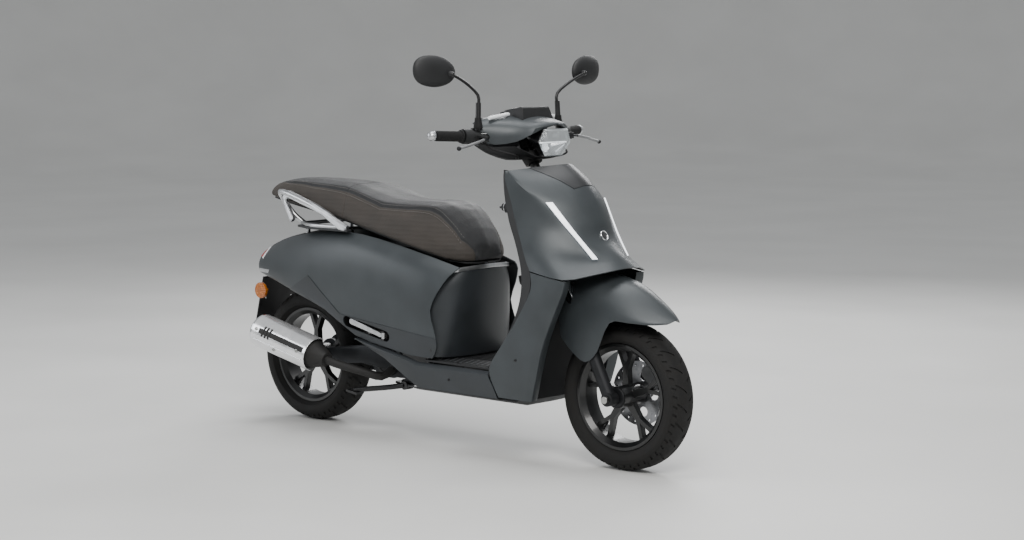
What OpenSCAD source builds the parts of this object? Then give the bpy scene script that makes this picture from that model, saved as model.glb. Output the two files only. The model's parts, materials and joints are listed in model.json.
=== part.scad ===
// Moped scooter: step-through frame, unit swingarm engine, telescopic fork and 12-inch wheels.
// Millimetres, +X forward, +Y to the rider's left, +Z up, with the ground at Z = 0.

/* [Overall] */
// Distance between the wheel axles
wheelbase = 1350; // [1150:10:1620]
// Width across the side panels and the leg shield
body_w = 404; // [380:2:486]
// Height of the rider's part of the seat
seat_h = 778; // [760:1:800]
// Height of the grips
bar_h = 1011; // [1000:1:1040]
// Width over the handlebar ends
bar_w = 716; // [690:2:760]
// Height of the footboard's top face
floor_z = 292; // [286:1:300]

/* [Wheels] */
// Outer diameter of both tyres
tyre_d = 452; // [440:1:460]
// Width of the front tyre
front_tyre_w = 110; // [100:1:116]
// Width of the rear tyre
rear_tyre_w = 120; // [100:1:124]
// Diameter over the rim flanges
rim_d = 326; // [320:1:340]
// Width over the rim flanges
rim_w = 84; // [76:1:86]
// Number of split spokes in each wheel
spokes = 5; // [3:1:7]
// Diameter of the front axle
axle_d = 12; // [10:0.5:15]
// Diameter of the rear axle
rear_axle_d = 16; // [13:0.5:20]
// Diameter of the front brake disc
disc_d = 200; // [180:1:220]

/* [Fork and steering] */
// Rake of the steering axis from the vertical, in degrees
rake = 26.5; // [24:0.5:28]
// Distance from the steering axis forward to the fork legs
fork_offset = 25; // [20:1:30]
// Distance between the two fork legs
fork_gauge = 176; // [172:1:190]
// Diameter of the fork's upper tubes
fork_tube_d = 31; // [26:0.5:37.5]
// Wall of the lower legs around the tubes
slider_wall = 4; // [3:0.5:5]
// Diameter of the steering stem
stem_d = 30; // [25:0.5:36]
// Diameter of the handlebar tube
bar_d = 22; // [18:0.5:26.5]

/* [Clearances and walls] */
// Radial clearance of a running fit
run_gap = 0.05; // [0.02:0.01:0.1]
// Gap between pieces that move past each other
move_gap = 4; // [3:0.5:6]
// Gap between pieces of one body that lie against each other
seat_gap = 0.4; // [0.3:0.1:0.8]
// Wall of the moulded body panels
panel_t = 3; // [2:0.5:4]

/* [Hidden] */
$fn = 48;

half_w = body_w / 2;
xf = wheelbase / 2;
xr = -wheelbase / 2;
axle_z = tyre_d / 2;
// The half width, seat height and bar height that the rows of points below are drawn at.
drawn_half_w = 202;
drawn_seat_h = 778;
drawn_bar_z = 1004;
// Radius of the pins of the small hinges: seat, footpegs and luggage hook.
hinge_pin_r = 3;

// ---------- shared shapes ----------

// Both sides of the machine: the right-hand child and its mirror image.
module both_sides() {
    children();
    mirror([0, 1, 0]) children();
}

// A round bar from a to b.
module rod(a, b, r, r2 = undef) {
    d = b - a;
    length = norm(d);
    translate(a) rotate([0, acos(d.z / length), atan2(d.y, d.x)])
        cylinder(h = length, r1 = r, r2 = is_undef(r2) ? r : r2);
}

// A cylinder along Y, centred on the point.
module across(at, h, r) {
    translate(at) rotate([90, 0, 0]) cylinder(h = h, r = r, center = true);
}

// Catmull-Rom point between p1 and p2.
function bend(p0, p1, p2, p3, t) =
    0.5 * (2 * p1 + (p2 - p0) * t + (2 * p0 - 5 * p1 + 4 * p2 - p3) * t * t
        + (3 * p1 - p0 - 3 * p2 + p3) * t * t * t);

// A smooth curve through the points, with n steps between each pair.
function curve(p, n) = let (last = len(p) - 1) [
    for (i = [0 : last - 1], k = [0 : n - 1])
        bend(p[max(i - 1, 0)], p[i], p[i + 1], p[min(i + 2, last)], k / n),
    p[last],
];

function column(rows, j) = [for (row = rows) row[j]];

// A smooth grid through a coarse one: n steps along each row, m steps between rows.
function smooth_grid(rows, n, m) =
    let (fine = [for (row = rows) curve(row, n)],
        columns = [for (j = [0 : len(fine[0]) - 1]) curve(column(fine, j), m)])
    [for (i = [0 : len(columns[0]) - 1]) column(columns, i)];

// A half row that ends on the centre plane, carried across to the other side.
function whole_row(half) =
    concat(half, [for (i = [len(half) - 2 : -1 : 0]) [half[i].x, -half[i].y, half[i].z]]);

function unit(v) = v / max(norm(v), 1e-9);

function grid_normal(g, i, j) =
    let (rows = len(g) - 1, cols = len(g[0]) - 1,
        du = g[i][min(j + 1, cols)] - g[i][max(j - 1, 0)],
        dv = g[min(i + 1, rows)][j] - g[max(i - 1, 0)][j])
    unit(cross(du, dv));

// A moulded panel: the grid is its outer face, and t its wall behind it (negative for in front).
module panel(g, t) {
    rows = len(g);
    cols = len(g[0]);
    count = rows * cols;
    back = [for (i = [0 : rows - 1]) [for (j = [0 : cols - 1]) g[i][j] - t * grid_normal(g, i, j)]];
    points = concat([for (row = g) each row], [for (row = back) each row]);
    function at(i, j, side) = side * count + i * cols + j;
    function quad(a, b, c, d) = t > 0 ? [[a, c, b], [a, d, c]] : [[a, b, c], [a, c, d]];
    faces = concat(
        [for (i = [0 : rows - 2], j = [0 : cols - 2])
            each quad(at(i, j, 0), at(i, j + 1, 0), at(i + 1, j + 1, 0), at(i + 1, j, 0))],
        [for (i = [0 : rows - 2], j = [0 : cols - 2])
            each quad(at(i, j, 1), at(i + 1, j, 1), at(i + 1, j + 1, 1), at(i, j + 1, 1))],
        [for (j = [0 : cols - 2]) each concat(
            quad(at(0, j, 0), at(0, j, 1), at(0, j + 1, 1), at(0, j + 1, 0)),
            quad(at(rows - 1, j, 0), at(rows - 1, j + 1, 0), at(rows - 1, j + 1, 1), at(rows - 1, j, 1)))],
        [for (i = [0 : rows - 2]) each concat(
            quad(at(i, 0, 0), at(i + 1, 0, 0), at(i + 1, 0, 1), at(i, 0, 1)),
            quad(at(i, cols - 1, 0), at(i, cols - 1, 1), at(i + 1, cols - 1, 1), at(i + 1, cols - 1, 0)))]);
    polyhedron(points, faces, convexity = 8);
}

// A closed body through rings of points, with flat fans at both ends.
module loft(rings) {
    count = len(rings[0]);
    points = [for (ring = rings) each ring];
    last = (len(rings) - 1) * count;
    faces = concat(
        [for (i = [0 : len(rings) - 2], j = [0 : count - 1]) let (k = (j + 1) % count) each
            [[i * count + j, i * count + k, (i + 1) * count + k],
             [i * count + j, (i + 1) * count + k, (i + 1) * count + j]]],
        [for (j = [1 : count - 2]) [0, j + 1, j]],
        [for (j = [1 : count - 2]) [last, last + j, last + j + 1]]);
    polyhedron(points, faces, convexity = 8);
}

// Rings of a tube round a line of points. The reference is a direction the line never takes.
function tube_rings(line, r, reference, sides) = let (last = len(line) - 1) [
    for (i = [0 : last]) let (
        ahead = unit(line[min(i + 1, last)] - line[max(i - 1, 0)]),
        side = unit(cross(ahead, reference)),
        up = cross(side, ahead))
    [for (k = [0 : sides - 1]) line[i] + r * (cos(360 * k / sides) * side + sin(360 * k / sides) * up)],
];

// A tube along a smooth curve through the points.
module hose(points, r, reference = [0, 1, 0], steps = 3, sides = 8) {
    loft(tube_rings(curve(points, steps), r, reference, sides));
}

// A bent bar: straight runs, with each corner rounded over the bend radius.
module bent_bar(points, r, reference = [0, 1, 0], corner = 40, sides = 12) {
    last = len(points) - 1;
    line = [points[0], each [for (i = [1 : last - 1]) let (
        before = unit(points[i - 1] - points[i]),
        after = unit(points[i + 1] - points[i]),
        reach = min(corner, 0.45 * norm(points[i - 1] - points[i]), 0.45 * norm(points[i + 1] - points[i])),
        a = points[i] + reach * before,
        b = points[i] + reach * after)
        for (t = [0 : 0.25 : 1]) (1 - t) * (1 - t) * a + 2 * t * (1 - t) * points[i] + t * t * b],
        points[last]];
    loft(tube_rings(line, r, reference, sides));
}

// ---------- steering geometry ----------

// Point on the steering axis at height z.
function steer_x(z) = xf - fork_offset / cos(rake) - (z - axle_z) * tan(rake);
// Point on the fork's leg line at height z.
function leg_x(z) = xf - (z - axle_z) * tan(rake);
function leg_point(z, y) = [leg_x(z), y, z];

head_low = 636;
head_high = 800;
head_tube_d = stem_d + 22;
crown_z = 600;
leg_y = fork_gauge / 2;

// Moves the child onto the steering axis at height z, with its Z along the axis.
module on_steering_axis(z) {
    translate([steer_x(z), 0, z]) rotate([0, -rake, 0]) children();
}

// ---------- frame and body ----------

rail_y = 76;
rail_z = 232;
rail_r = 13;
rear_rail_y = 134;
rear_rail_r = 11;
down_tube_r = 21;
engine_pivot = [xr + 505, 0, 262];
shock_low = [xr + 34, 130, axle_z + 94];
pivot_r = 8;
shock_pin_r = 8;
shock_top = [xr + 62, 130, 584];

module frame() {
    pivot_plate = [132, 14, 60];
    color("dimgray") {
        difference() {
            union() {
                on_steering_axis(head_low) cylinder(h = (head_high - head_low) / cos(rake), d = head_tube_d);
                bent_bar([[steer_x(720) - 6, 0, 720], [xf - 292, 0, 600], [xf - 312, 0, 480],
                    [xf - 325, 0, rail_z - 4]], down_tube_r);
                across([xf - 325, 0, rail_z], 2 * rail_y, rail_r);
                both_sides() {
                    bent_bar([[xf - 325, -rail_y, rail_z], [xr + 600, -rail_y, rail_z],
                        [xr + 655, -rear_rail_y, 330], [xr + 655, -rear_rail_y, 470],
                        [xr + 560, -rear_rail_y, 560], [xr + 100, -rear_rail_y + 20, 590],
                        [xr - 60, -rear_rail_y + 60, 570]], rear_rail_r);
                    translate([engine_pivot.x - 20, -rail_y - 7, rail_z - 8]) cube(pivot_plate);
                }
                // seats of the grab rail's posts
                for (y = [-rail_post_y, rail_post_y]) translate([xr + 62, y, 585])
                    cylinder(h = rail_post_z - 585, r = rail_post_r + 2);
                across([xr + 655, 0, 346], 2 * rear_rail_y, rear_rail_r - 1);
                across([xr - 40, 0, 572], 2 * rear_rail_y - 100, rear_rail_r - 3);
                across(engine_pivot, 2 * rail_y, pivot_r);
                across([shock_top.x, shock_top.y - 14, shock_top.z], 48, shock_pin_r);
            }
            on_steering_axis(head_low - 10) cylinder(h = 500, d = stem_d + 2 * run_gap);
        }
    }
}

// Half rows of the nose, from the rear edge to the centre, at falling heights.
nose_rows = [
    [[-346, -170, 903], [-341, -164, 904], [-334, -155, 905], [-285, -75, 914], [-237, 0, 921]],
    [[-344, -171, 874], [-318, -166, 870], [-288, -157, 868], [-214, -74, 872], [-176, 0, 875]],
    [[-318, -175, 812], [-262, -160, 812], [-211, -138, 812], [-152, -66, 813], [-127, 0, 814]],
    [[-296, -179, 750], [-228, -156, 750], [-162, -116, 750], [-118, -56, 751], [-103, 0, 752]],
    [[-272, -186, 700], [-196, -160, 700], [-119, -96, 700], [-98, -48, 700], [-90, 0, 700]],
    [[-246, -194, 645], [-158, -178, 643], [-72, -78, 644], [-40, -40, 646], [-27, 0, 647]],
    [[-223, -199, 606], [-96, -197, 588], [-30, -110, 604], [-4, -56, 613], [2, 0, 616]],
];
// Places a shield point, given from the front axle and the half width.
function shield_point(p) = [xf + p.x, p.y < 0 ? p.y + drawn_half_w - half_w : p.y, p.z];
function shield_row(row) = whole_row([for (p = row) shield_point(p)]);

// Rows of the right leg, from its rear edge round the front edge to the inner return.
leg_rows = [
    [[-222, -199, 602], [-158, -201, 592], [-96, -198, 583], [-90, -186, 582], [-96, -166, 583]],
    [[-218, -201, 548], [-160, -203, 545], [-104, -201, 545], [-98, -188, 545], [-104, -164, 545]],
    [[-272, -201, 455], [-208, -204, 450], [-150, -201, 450], [-143, -188, 450], [-150, -162, 450]],
    [[-334, -201, 370], [-255, -204, 370], [-184, -201, 370], [-176, -188, 370], [-183, -160, 370]],
    [[-386, -200, 288], [-295, -203, 288], [-206, -201, 288], [-198, -188, 288], [-205, -160, 288]],
    [[-352, -194, 206], [-290, -197, 206], [-228, -195, 206], [-220, -184, 206], [-227, -158, 206]],
];

module front_shield() {
    color("#4b5157") {
        panel(smooth_grid([for (row = nose_rows) shield_row(row)], 3, 3), -panel_t);
        both_sides() panel(smooth_grid([for (row = leg_rows) [for (p = row) shield_point(p)]], 3, 3), -panel_t);
    }
}

// Half rows of the rider's side of the shield, from the edge to the centre.
inner_rows = [
    [[-360, -160, 905], [-378, -110, 900], [-392, -50, 890], [-398, 0, 887]],
    [[-349, -164, 810], [-378, -120, 810], [-398, -60, 810], [-402, 0, 810]],
    [[-330, -168, 750], [-372, -122, 750], [-396, -60, 750], [-400, 0, 750]],
    [[-300, -173, 690], [-350, -122, 690], [-386, -58, 690], [-392, 0, 690]],
    [[-264, -184, 600], [-306, -120, 600], [-366, -58, 600], [-375, 0, 600]],
    [[-262, -188, 520], [-308, -122, 520], [-368, -60, 520], [-378, 0, 520]],
    [[-300, -188, 430], [-322, -124, 430], [-366, -62, 430], [-376, 0, 430]],
    [[-352, -187, 350], [-356, -128, 350], [-368, -64, 350], [-374, 0, 350]],
    [[-392, -185, 304], [-386, -128, 304], [-380, -64, 304], [-378, 0, 304]],
];

knob_at = [xf - 386, drawn_half_w - half_w - 108, 786];
knob_r = 12;
hook_pivot = [xf - 392, 0, 548];

module inner_shield() {
    color("#2b2d30") difference() {
        union() {
            panel(smooth_grid([for (row = inner_rows) shield_row(row)], 2, 2), panel_t);
            // lugs and pin of the luggage hook
            both_sides() translate([hook_pivot.x - 7, -14, hook_pivot.z - 7]) cube([26, 5, 14]);
            across(hook_pivot, 26, hinge_pin_r);
            // barrel of the ignition lock
            translate([knob_at.x - 4, knob_at.y, knob_at.z]) rotate([0, 90, 0])
                cylinder(h = 60, r = knob_r + 3);
        }
        translate([knob_at.x - 10, knob_at.y, knob_at.z]) rotate([0, 90, 0])
            cylinder(h = 40, r = knob_r - 3 + run_gap);
    }
}

// Daylight lamps: one bright strip down each crease of the nose.
strip_rows = [for (i = [2 : 5]) let (row = nose_rows[i])
    [row[2] + 0.05 * (row[1] - row[2]), row[2] + 0.2 * (row[3] - row[2])]];

module light_strips() {
    proud = [8, -5, 0];
    color("white") both_sides()
        panel(smooth_grid([for (row = strip_rows) [for (p = row) shield_point(p) + proud]], 1, 4), -4);
}

floor_front_x = xf - 388;
floor_back_x = xr + 675;
floor_t = 6;

module footboard() {
    inset = half_w - 16;
    color("#303234") union() {
        translate([floor_back_x, -inset, floor_z - floor_t])
            cube([floor_front_x - floor_back_x, 2 * inset, floor_t]);
        for (i = [-3 : 3]) translate([floor_back_x + 100, i * 22 - 3, floor_z - 0.5])
            cube([floor_front_x - floor_back_x - 112, 6, 3.5]);
    }
}

skirt_low = 200;

// Skirt sections along the machine: place, top and bottom.
skirt_sections = [
    [xr + 379, 335, 328], [xr + 505, 311, 280], [xr + 605, 295, 226], [xr + 655, floor_z - 10, skirt_low],
    [xr + 840, floor_z - 10, skirt_low], [xf - 390, floor_z - 10, skirt_low],
];

module floor_skirts() {
    rows = [for (k = [0 : len(skirt_sections) - 1]) let (
        section = skirt_sections[k],
        slant = k == len(skirt_sections) - 1 ? 32 : 0,
        depth = section[1] - section[2])
        [[section.x, -half_w + 14, section[1]], [section.x, -half_w, section[1] - 0.12 * depth],
         [section.x + 0.5 * slant, -half_w + 3, section[1] - 0.5 * depth],
         [section.x + slant, -half_w + 10, section[2]]]];
    color("#4b5157") both_sides() panel(smooth_grid(rows, 2, 1), panel_t);
}

belly_z = 180;

module belly_pan() {
    front = xf - 250;
    back = xr + 600;
    color("#1d1e20") union() {
        panel([for (x = [back, back + 160, front - 40, front]) let (rise = x == front ? 24 : 0)
            [for (s = [[-half_w + 22, 196], [-130, belly_z], [0, belly_z - 2], [130, belly_z],
                [half_w - 22, 196]]) [x, s[0], s[1] + rise]]], 4);
        // splash guard behind the front wheel
        panel([for (p = [[front - 2, 206], [front - 12, 300], [front - 22, 400], [front - 26, 480]])
            [for (y = [-118, -60, 0, 60, 118]) [p[0], y, p[1]]]], 4);
    }
}

// Rows of the right side panel, from its top edge down, each running from tail to front.
side_rows = [
    [[-184, -82, 572], [-70, -104, 622], [75, -126, 655], [225, -146, 674], [375, -156, 672],
     [525, -154, 648], [675, -146, 616], [784, -134, 588]],
    [[-188, -92, 558], [-72, -124, 596], [75, -155, 625], [225, -178, 640], [375, -190, 636],
     [525, -190, 612], [672, -182, 584], [768, -168, 562]],
    [[-192, -98, 540], [-76, -138, 562], [75, -172, 578], [225, -194, 582], [375, -203, 570],
     [525, -204, 548], [662, -199, 524], [738, -190, 510]],
    [[-194, -98, 522], [-80, -144, 530], [75, -178, 528], [225, -197, 516], [372, -204, 494],
     [520, -205, 476], [645, -202, 460], [712, -196, 452]],
    [[-190, -96, 506], [-80, -142, 502], [75, -174, 478], [225, -190, 446], [356, -199, 420],
     [512, -201, 410], [645, -202, 404], [728, -198, 396]],
    [[-186, -90, 500], [-80, -138, 493], [75, -170, 460], [222, -184, 420], [345, -190, 366],
     [505, -192, 350], [645, -198, 344], [742, -196, 338]],
    [[-184, -86, 497], [-80, -134, 489], [75, -166, 455], [222, -180, 414], [372, -188, 342],
     [505, -190, 318], [620, -194, 302], [720, -192, 300]],
];

function side_point(p) = [xr + p.x, p.y < 0 ? p.y + drawn_half_w - half_w : p.y, p.z];

peg_hinge = [xr + 500, -half_w + 13, 352];
peg_tip = [xr + 352, -half_w + 18, 386];

// Slot in the side panel that the folded footpeg lies in.
module peg_slot() {
    hull() for (p = [peg_hinge + [14, 0, 0], peg_tip - [16, 0, 0]])
        translate(p) rotate([90, 0, 0]) cylinder(h = 120, r = 18, center = true, $fn = 24);
}

module side_panels() {
    color("#4b5157") both_sides() difference() {
        panel(smooth_grid([for (row = side_rows) [for (p = row) side_point(p)]], 2, 2), -panel_t);
        peg_slot();
    }
}

module peg_brackets() {
    color("#17181a") both_sides() {
        // tray behind the slot
        hull() for (p = [peg_hinge + [10, 0, 0], peg_tip - [12, 0, 0]])
            translate([p.x, peg_hinge.y + 22, p.z]) rotate([90, 0, 0])
                cylinder(h = 4, r = 16, center = true, $fn = 24);
        // hinge lugs and their pin
        for (z = [-15, 10]) translate(peg_hinge + [-7, -6, z]) cube([14, 30, 5]);
        translate(peg_hinge - [0, 0, 15]) cylinder(h = 30, r = hinge_pin_r);
        // arm to the frame
        bent_bar([peg_hinge + [0, 22, -4], peg_hinge + [60, 40, -8],
            [xr + 655 - rear_rail_r - 6, -rear_rail_y, 350]], 8);
    }
}

// Half rows of the cover below the seat's nose, from the side to the centre.
cover_rows = [
    [[742, -126, 580], [772, -104, 578], [790, -62, 577], [797, 0, 577]],
    [[726, -158, 536], [764, -128, 530], [786, -70, 528], [793, 0, 528]],
    [[696, -182, 458], [748, -148, 450], [776, -78, 448], [784, 0, 448]],
    [[704, -184, 380], [744, -150, 376], [766, -78, 374], [772, 0, 374]],
    [[716, -184, 304], [742, -150, 301], [756, -78, 300], [760, 0, 300]],
];

seat_hinge = [xr + 793, 0, 594];

module seat_front_cover() {
    color("#2f3235") {
        panel(smooth_grid([for (row = cover_rows) whole_row([for (p = row) side_point(p)])], 2, 3), -panel_t);
        // posts and pin of the seat's hinge
        both_sides() translate([seat_hinge.x - 3, -26, 566]) cube([5, 8, seat_hinge.z - 566 + 3]);
        across(seat_hinge, 50, hinge_pin_r);
    }
}

// Half rows of the cap that closes the tail between the side panels.
tail_rows = [
    [[225, -140, 675], [225, -70, 680], [225, 0, 682]],
    [[75, -120, 657], [75, -60, 664], [75, 0, 666]],
    [[-70, -98, 624], [-70, -50, 634], [-70, 0, 637]],
    [[-150, -84, 592], [-152, -44, 604], [-153, 0, 608]],
];

module tail_cover() {
    color("#232527") difference() {
        panel(smooth_grid([for (row = tail_rows) whole_row([for (p = row) side_point(p)])], 2, 2), panel_t);
        for (y = [-rail_post_y, rail_post_y]) translate([xr + 62, y, rail_post_z])
            cylinder(h = 100, r = rail_post_r + 2);
    }
}

module tail_lamp() {
    rows = [
        [[-158, -80, 588], [-166, -42, 596], [-170, 0, 599]],
        [[-178, -84, 566], [-192, -44, 568], [-197, 0, 569]],
        [[-190, -86, 545], [-206, -46, 545], [-211, 0, 545]],
    ];
    color("crimson") panel(smooth_grid([for (row = rows) whole_row([for (p = row) side_point(p)])], 2, 2), 6);
}

plate_tilt = 14;
plate_low_z = 324;
plate_high_z = 488;
plate_hole_z = 410;
plate_hole_d = 6.5;
plate_t = 4;
// X of the number plate holder's rear face at height z.
function plate_x(z) = -xf - axle_z + (z - plate_low_z) * tan(plate_tilt);

module rear_mudguard() {
    guard_r = axle_z + 78;
    color("#161718") difference() {
        union() {
            // the arch over the wheel
            intersection() {
                translate([xr, 0, axle_z]) rotate([90, 0, 0]) difference() {
                    cylinder(h = 2 * 74, r = guard_r + plate_t, center = true, $fn = 96);
                    cylinder(h = 2 * 90, r = guard_r, center = true, $fn = 96);
                }
                translate([xr - 150, -100, 436]) cube([236, 200, 300]);
            }
            // the number plate holder
            translate([plate_x(plate_low_z), 0, plate_low_z]) rotate([0, plate_tilt, 0])
                translate([0, -88, 0]) cube([plate_t, 176, (plate_high_z - plate_low_z) / cos(plate_tilt)]);
            // the lamp shelf that joins the two
            translate([plate_x(plate_high_z) + 1, -70, plate_high_z - 8])
                cube([xr - 149 - plate_x(plate_high_z), 140, 6]);
        }
        for (y = [-60, 60]) translate([plate_x(plate_hole_z), y, plate_hole_z]) rotate([0, 90 + plate_tilt, 0])
            cylinder(h = 40, d = plate_hole_d, center = true);
    }
}

reflector_d = 55;

module side_reflectors() {
    x = plate_x(444) + 34;
    color("orange") both_sides() {
        translate([x, -113, 444]) rotate([90, 0, 0]) cylinder(h = 9, d = reflector_d);
        translate([x, -88.4, 444]) rotate([90, 0, 0]) cylinder(h = 24.7, d = 12);
        translate([plate_x(444) + plate_t + 2, -98, 438]) cube([26, 9, 12]);
    }
}

rail_post_y = 103;
rail_post_z = 604;
rail_post_r = 8;

module grab_rail() {
    color("silver") {
        both_sides() {
            hose([[xr + 62, -120, 690], [xr + 30, -142, 724], [xr - 12, -152, 778], [xr + 8, -166, 796],
                [xr + 150, -174, 760], [xr + 322, -174, 690]], 9, steps = 3, sides = 12);
            bent_bar([[xr + 62, -128, 692], [xr + 130, -168, 690], [xr + 324, -174, 690]], 7,
                [0, 0, 1], sides = 10);
        }
        across([xr + 62, 0, 690], 256, 7);
        // posts that stand on the frame's rails
        for (y = [-rail_post_y, rail_post_y]) translate([xr + 62, y, rail_post_z + seat_gap])
            cylinder(h = 690 - rail_post_z, r = rail_post_r);
    }
}

bin_top = 610;
bin_wall = 3;

// Upright box with rounded corners, from its low corner a to its high corner b.
module upright_box(a, b, r) {
    translate([a.x + r, a.y, a.z]) cube([b.x - a.x - 2 * r, b.y - a.y, b.z - a.z]);
    translate([a.x, a.y + r, a.z]) cube([b.x - a.x, b.y - a.y - 2 * r, b.z - a.z]);
    for (x = [a.x + r, b.x - r], y = [a.y + r, b.y - r]) translate([x, y, a.z]) cylinder(h = b.z - a.z, r = r);
}

module storage_bin() {
    deep_low = [xr + 306, -106, 366];
    deep_high = [xr + 628, 106, bin_top];
    shelf_low = [xr + 140, -94, 560];
    wall = [bin_wall, bin_wall, bin_wall];
    color("#1a1b1c") difference() {
        union() {
            upright_box(deep_low, deep_high, 24);
            upright_box(shelf_low, [deep_low.x + 60, -shelf_low.y, bin_top], 20);
        }
        upright_box(deep_low + wall, deep_high - [bin_wall, bin_wall, -20], 24 - bin_wall);
        upright_box(shelf_low + wall, [deep_low.x + 60, -shelf_low.y - bin_wall, bin_top + 20], 20 - bin_wall);
    }
}

// ---------- steering ----------

bar_centre = [steer_x(drawn_bar_z), 0, drawn_bar_z];
bar_bend = [bar_centre.x, -118, 1002];
bar_tip = [bar_bend.x - 62, -bar_w / 2 + 14, bar_h];
bar_dir = unit(bar_tip - bar_bend);
// Point on the right-hand part of the handlebar, given its distance in from the end.
function on_bar(inward) = bar_tip - bar_dir * inward;

// Moves the child onto the right-hand part of the bar, with its Z pointing outwards.
module at_bar(inward) {
    translate(on_bar(inward)) rotate([0, acos(bar_dir.z), atan2(bar_dir.y, bar_dir.x)]) children();
}

module steering_stem() {
    color("#303030") union() {
        on_steering_axis(crown_z) cylinder(h = (bar_centre.z - 24 - crown_z) / cos(rake), d = stem_d);
        difference() {
            on_steering_axis(crown_z) hull() {
                cylinder(h = 20, r = 26);
                translate([fork_offset, -leg_y, 0]) cylinder(h = 20, r = fork_tube_d / 2 + 7);
                translate([fork_offset, leg_y, 0]) cylinder(h = 20, r = fork_tube_d / 2 + 7);
            }
            on_steering_axis(crown_z) for (y = [-leg_y, leg_y])
                translate([fork_offset, y, -5]) cylinder(h = 40, d = fork_tube_d + 2 * run_gap);
        }
    }
}

slider_top_z = 436;
slider_bore = fork_tube_d + 2 * run_gap;
slider_d = slider_bore + 2 * slider_wall;

module fork_tubes() {
    color("silver") for (y = [-leg_y, leg_y])
        rod(leg_point(axle_z + 76, y), leg_point(crown_z + 27, y), fork_tube_d / 2);
}

module handlebar() {
    mirrored_bend = [bar_bend.x, -bar_bend.y, bar_bend.z];
    mirrored_tip = [bar_tip.x, -bar_tip.y, bar_tip.z];
    color("#202122") difference() {
        union() {
            rod(bar_bend, bar_tip, bar_d / 2);
            rod(mirrored_bend, mirrored_tip, bar_d / 2);
            bent_bar([bar_bend + 20 * bar_dir, bar_bend, mirrored_bend, mirrored_bend
                + 20 * [bar_dir.x, -bar_dir.y, bar_dir.z]], bar_d / 2 - 0.3, [1, 0, 0], 30);
            on_steering_axis(bar_centre.z - 40) cylinder(h = 62, r = stem_d / 2 + 9);
        }
        on_steering_axis(bar_centre.z - 80) cylinder(h = 72, d = stem_d + 2 * run_gap);
    }
}

// Half rows of the headset's painted cover, from the wing tip to the centre; each row runs
// round the bar from the rear top edge to the front.
cover_wing = [
    [[-52, -182, 1046], [-44, -150, 1060], [-50, -95, 1064], [-66, -45, 1066], [-72, 0, 1067]],
    [[-38, -185, 1042], [-22, -150, 1056], [-12, -95, 1064], [-6, -45, 1072], [-4, 0, 1074]],
    [[-24, -187, 1030], [4, -150, 1040], [40, -100, 1050], [72, -60, 1056], [84, 0, 1060]],
    [[-20, -186, 1008], [14, -152, 1010], [66, -104, 1022], [112, -72, 1040], [140, 0, 1047]],
    [[-22, -182, 992], [12, -150, 980], [64, -108, 990], [106, -88, 1012], [134, 0, 1041]],
];
function steer_point(p) = [bar_centre.x + p.x, p.y, bar_centre.z - drawn_bar_z + p.z];

// Passages through the headset's covers for the bar and the mirrors.
module headset_passages() {
    both_sides() {
        rod(bar_bend, bar_tip, bar_d / 2 + 3);
        translate(mirror_base) cylinder(h = 80, r = 12);
    }
}

module headset_cover() {
    color("#4b5157") difference() {
        panel(smooth_grid([for (row = cover_wing) whole_row([for (p = row) steer_point(p)])], 2, 3), -panel_t);
        headset_passages();
        pod_shape(seat_gap);
    }
}

// Half rows of the black cover that closes the headset below and behind.
back_wing = [
    [[-24, -184, 984], [8, -150, 972], [56, -110, 974], [96, -60, 944], [104, 0, 938]],
    [[-34, -178, 974], [-6, -140, 950], [30, -92, 934], [60, -44, 932], [66, 0, 931]],
    [[-52, -176, 978], [-50, -128, 954], [-34, -80, 936], [-26, -46, 933], [-24, 0, 932]],
    [[-60, -180, 1000], [-76, -120, 984], [-84, -80, 968], [-86, -46, 960], [-87, 0, 958]],
    [[-58, -184, 1030], [-80, -122, 1034], [-92, -80, 1040], [-96, -46, 1044], [-97, 0, 1046]],
];

module headset_back_cover() {
    color("#191a1b") {
        difference() {
            panel(smooth_grid([for (row = back_wing) whole_row([for (p = row) steer_point(p)])], 2, 2),
                -panel_t);
            on_steering_axis(860) cylinder(h = 100, r = stem_d / 2 + 4);
            headset_passages();
            both_sides() rod(hose_end + [20, -30, 10], hose_end - [20, -30, 10], 6);
        }
        // gaiter round the stem, down into the shield
        on_steering_axis(918) difference() {
            cylinder(h = 34, r1 = 27, r2 = 34);
            translate([0, 0, -1]) cylinder(h = 40, r = stem_d / 2 + 4);
        }
    }
}

// The lamp's six-sided outline, grown by a factor about its centre, at x.
lamp_corners = [[-58, 46], [58, 46], [80, 2], [42, -46], [-42, -46], [-80, 2]];
lamp_centre = [bar_centre.x + 108, 0, bar_centre.z - 16];
module lamp_slice(x, grow) {
    translate([x, 0, 0]) rotate([90, 0, 90]) linear_extrude(height = 1)
        polygon([for (p = lamp_corners) p * grow]);
}

module headlamp_bowl() {
    color("#222") translate(lamp_centre) rotate([0, 8, 0]) difference() {
        hull() {
            lamp_slice(14, 0.94);
            lamp_slice(-62, 0.5);
        }
        hull() {
            lamp_slice(16, 0.9);
            lamp_slice(-56, 0.44);
        }
    }
}

module headlamp_lens() {
    color([0.9, 0.95, 1, 0.5]) translate(lamp_centre) rotate([0, 8, 0]) hull() {
        lamp_slice(16, 0.94);
        lamp_slice(25, 0.84);
    }
}

module front_indicators() {
    color("white") both_sides() hull() {
        translate(steer_point([-8, -150, 1062])) rotate([90, 0, 12]) cylinder(h = 12, r = 5, center = true);
        translate(steer_point([4, -82, 1072])) rotate([90, 0, 12]) cylinder(h = 12, r = 5, center = true);
    }
}

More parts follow.
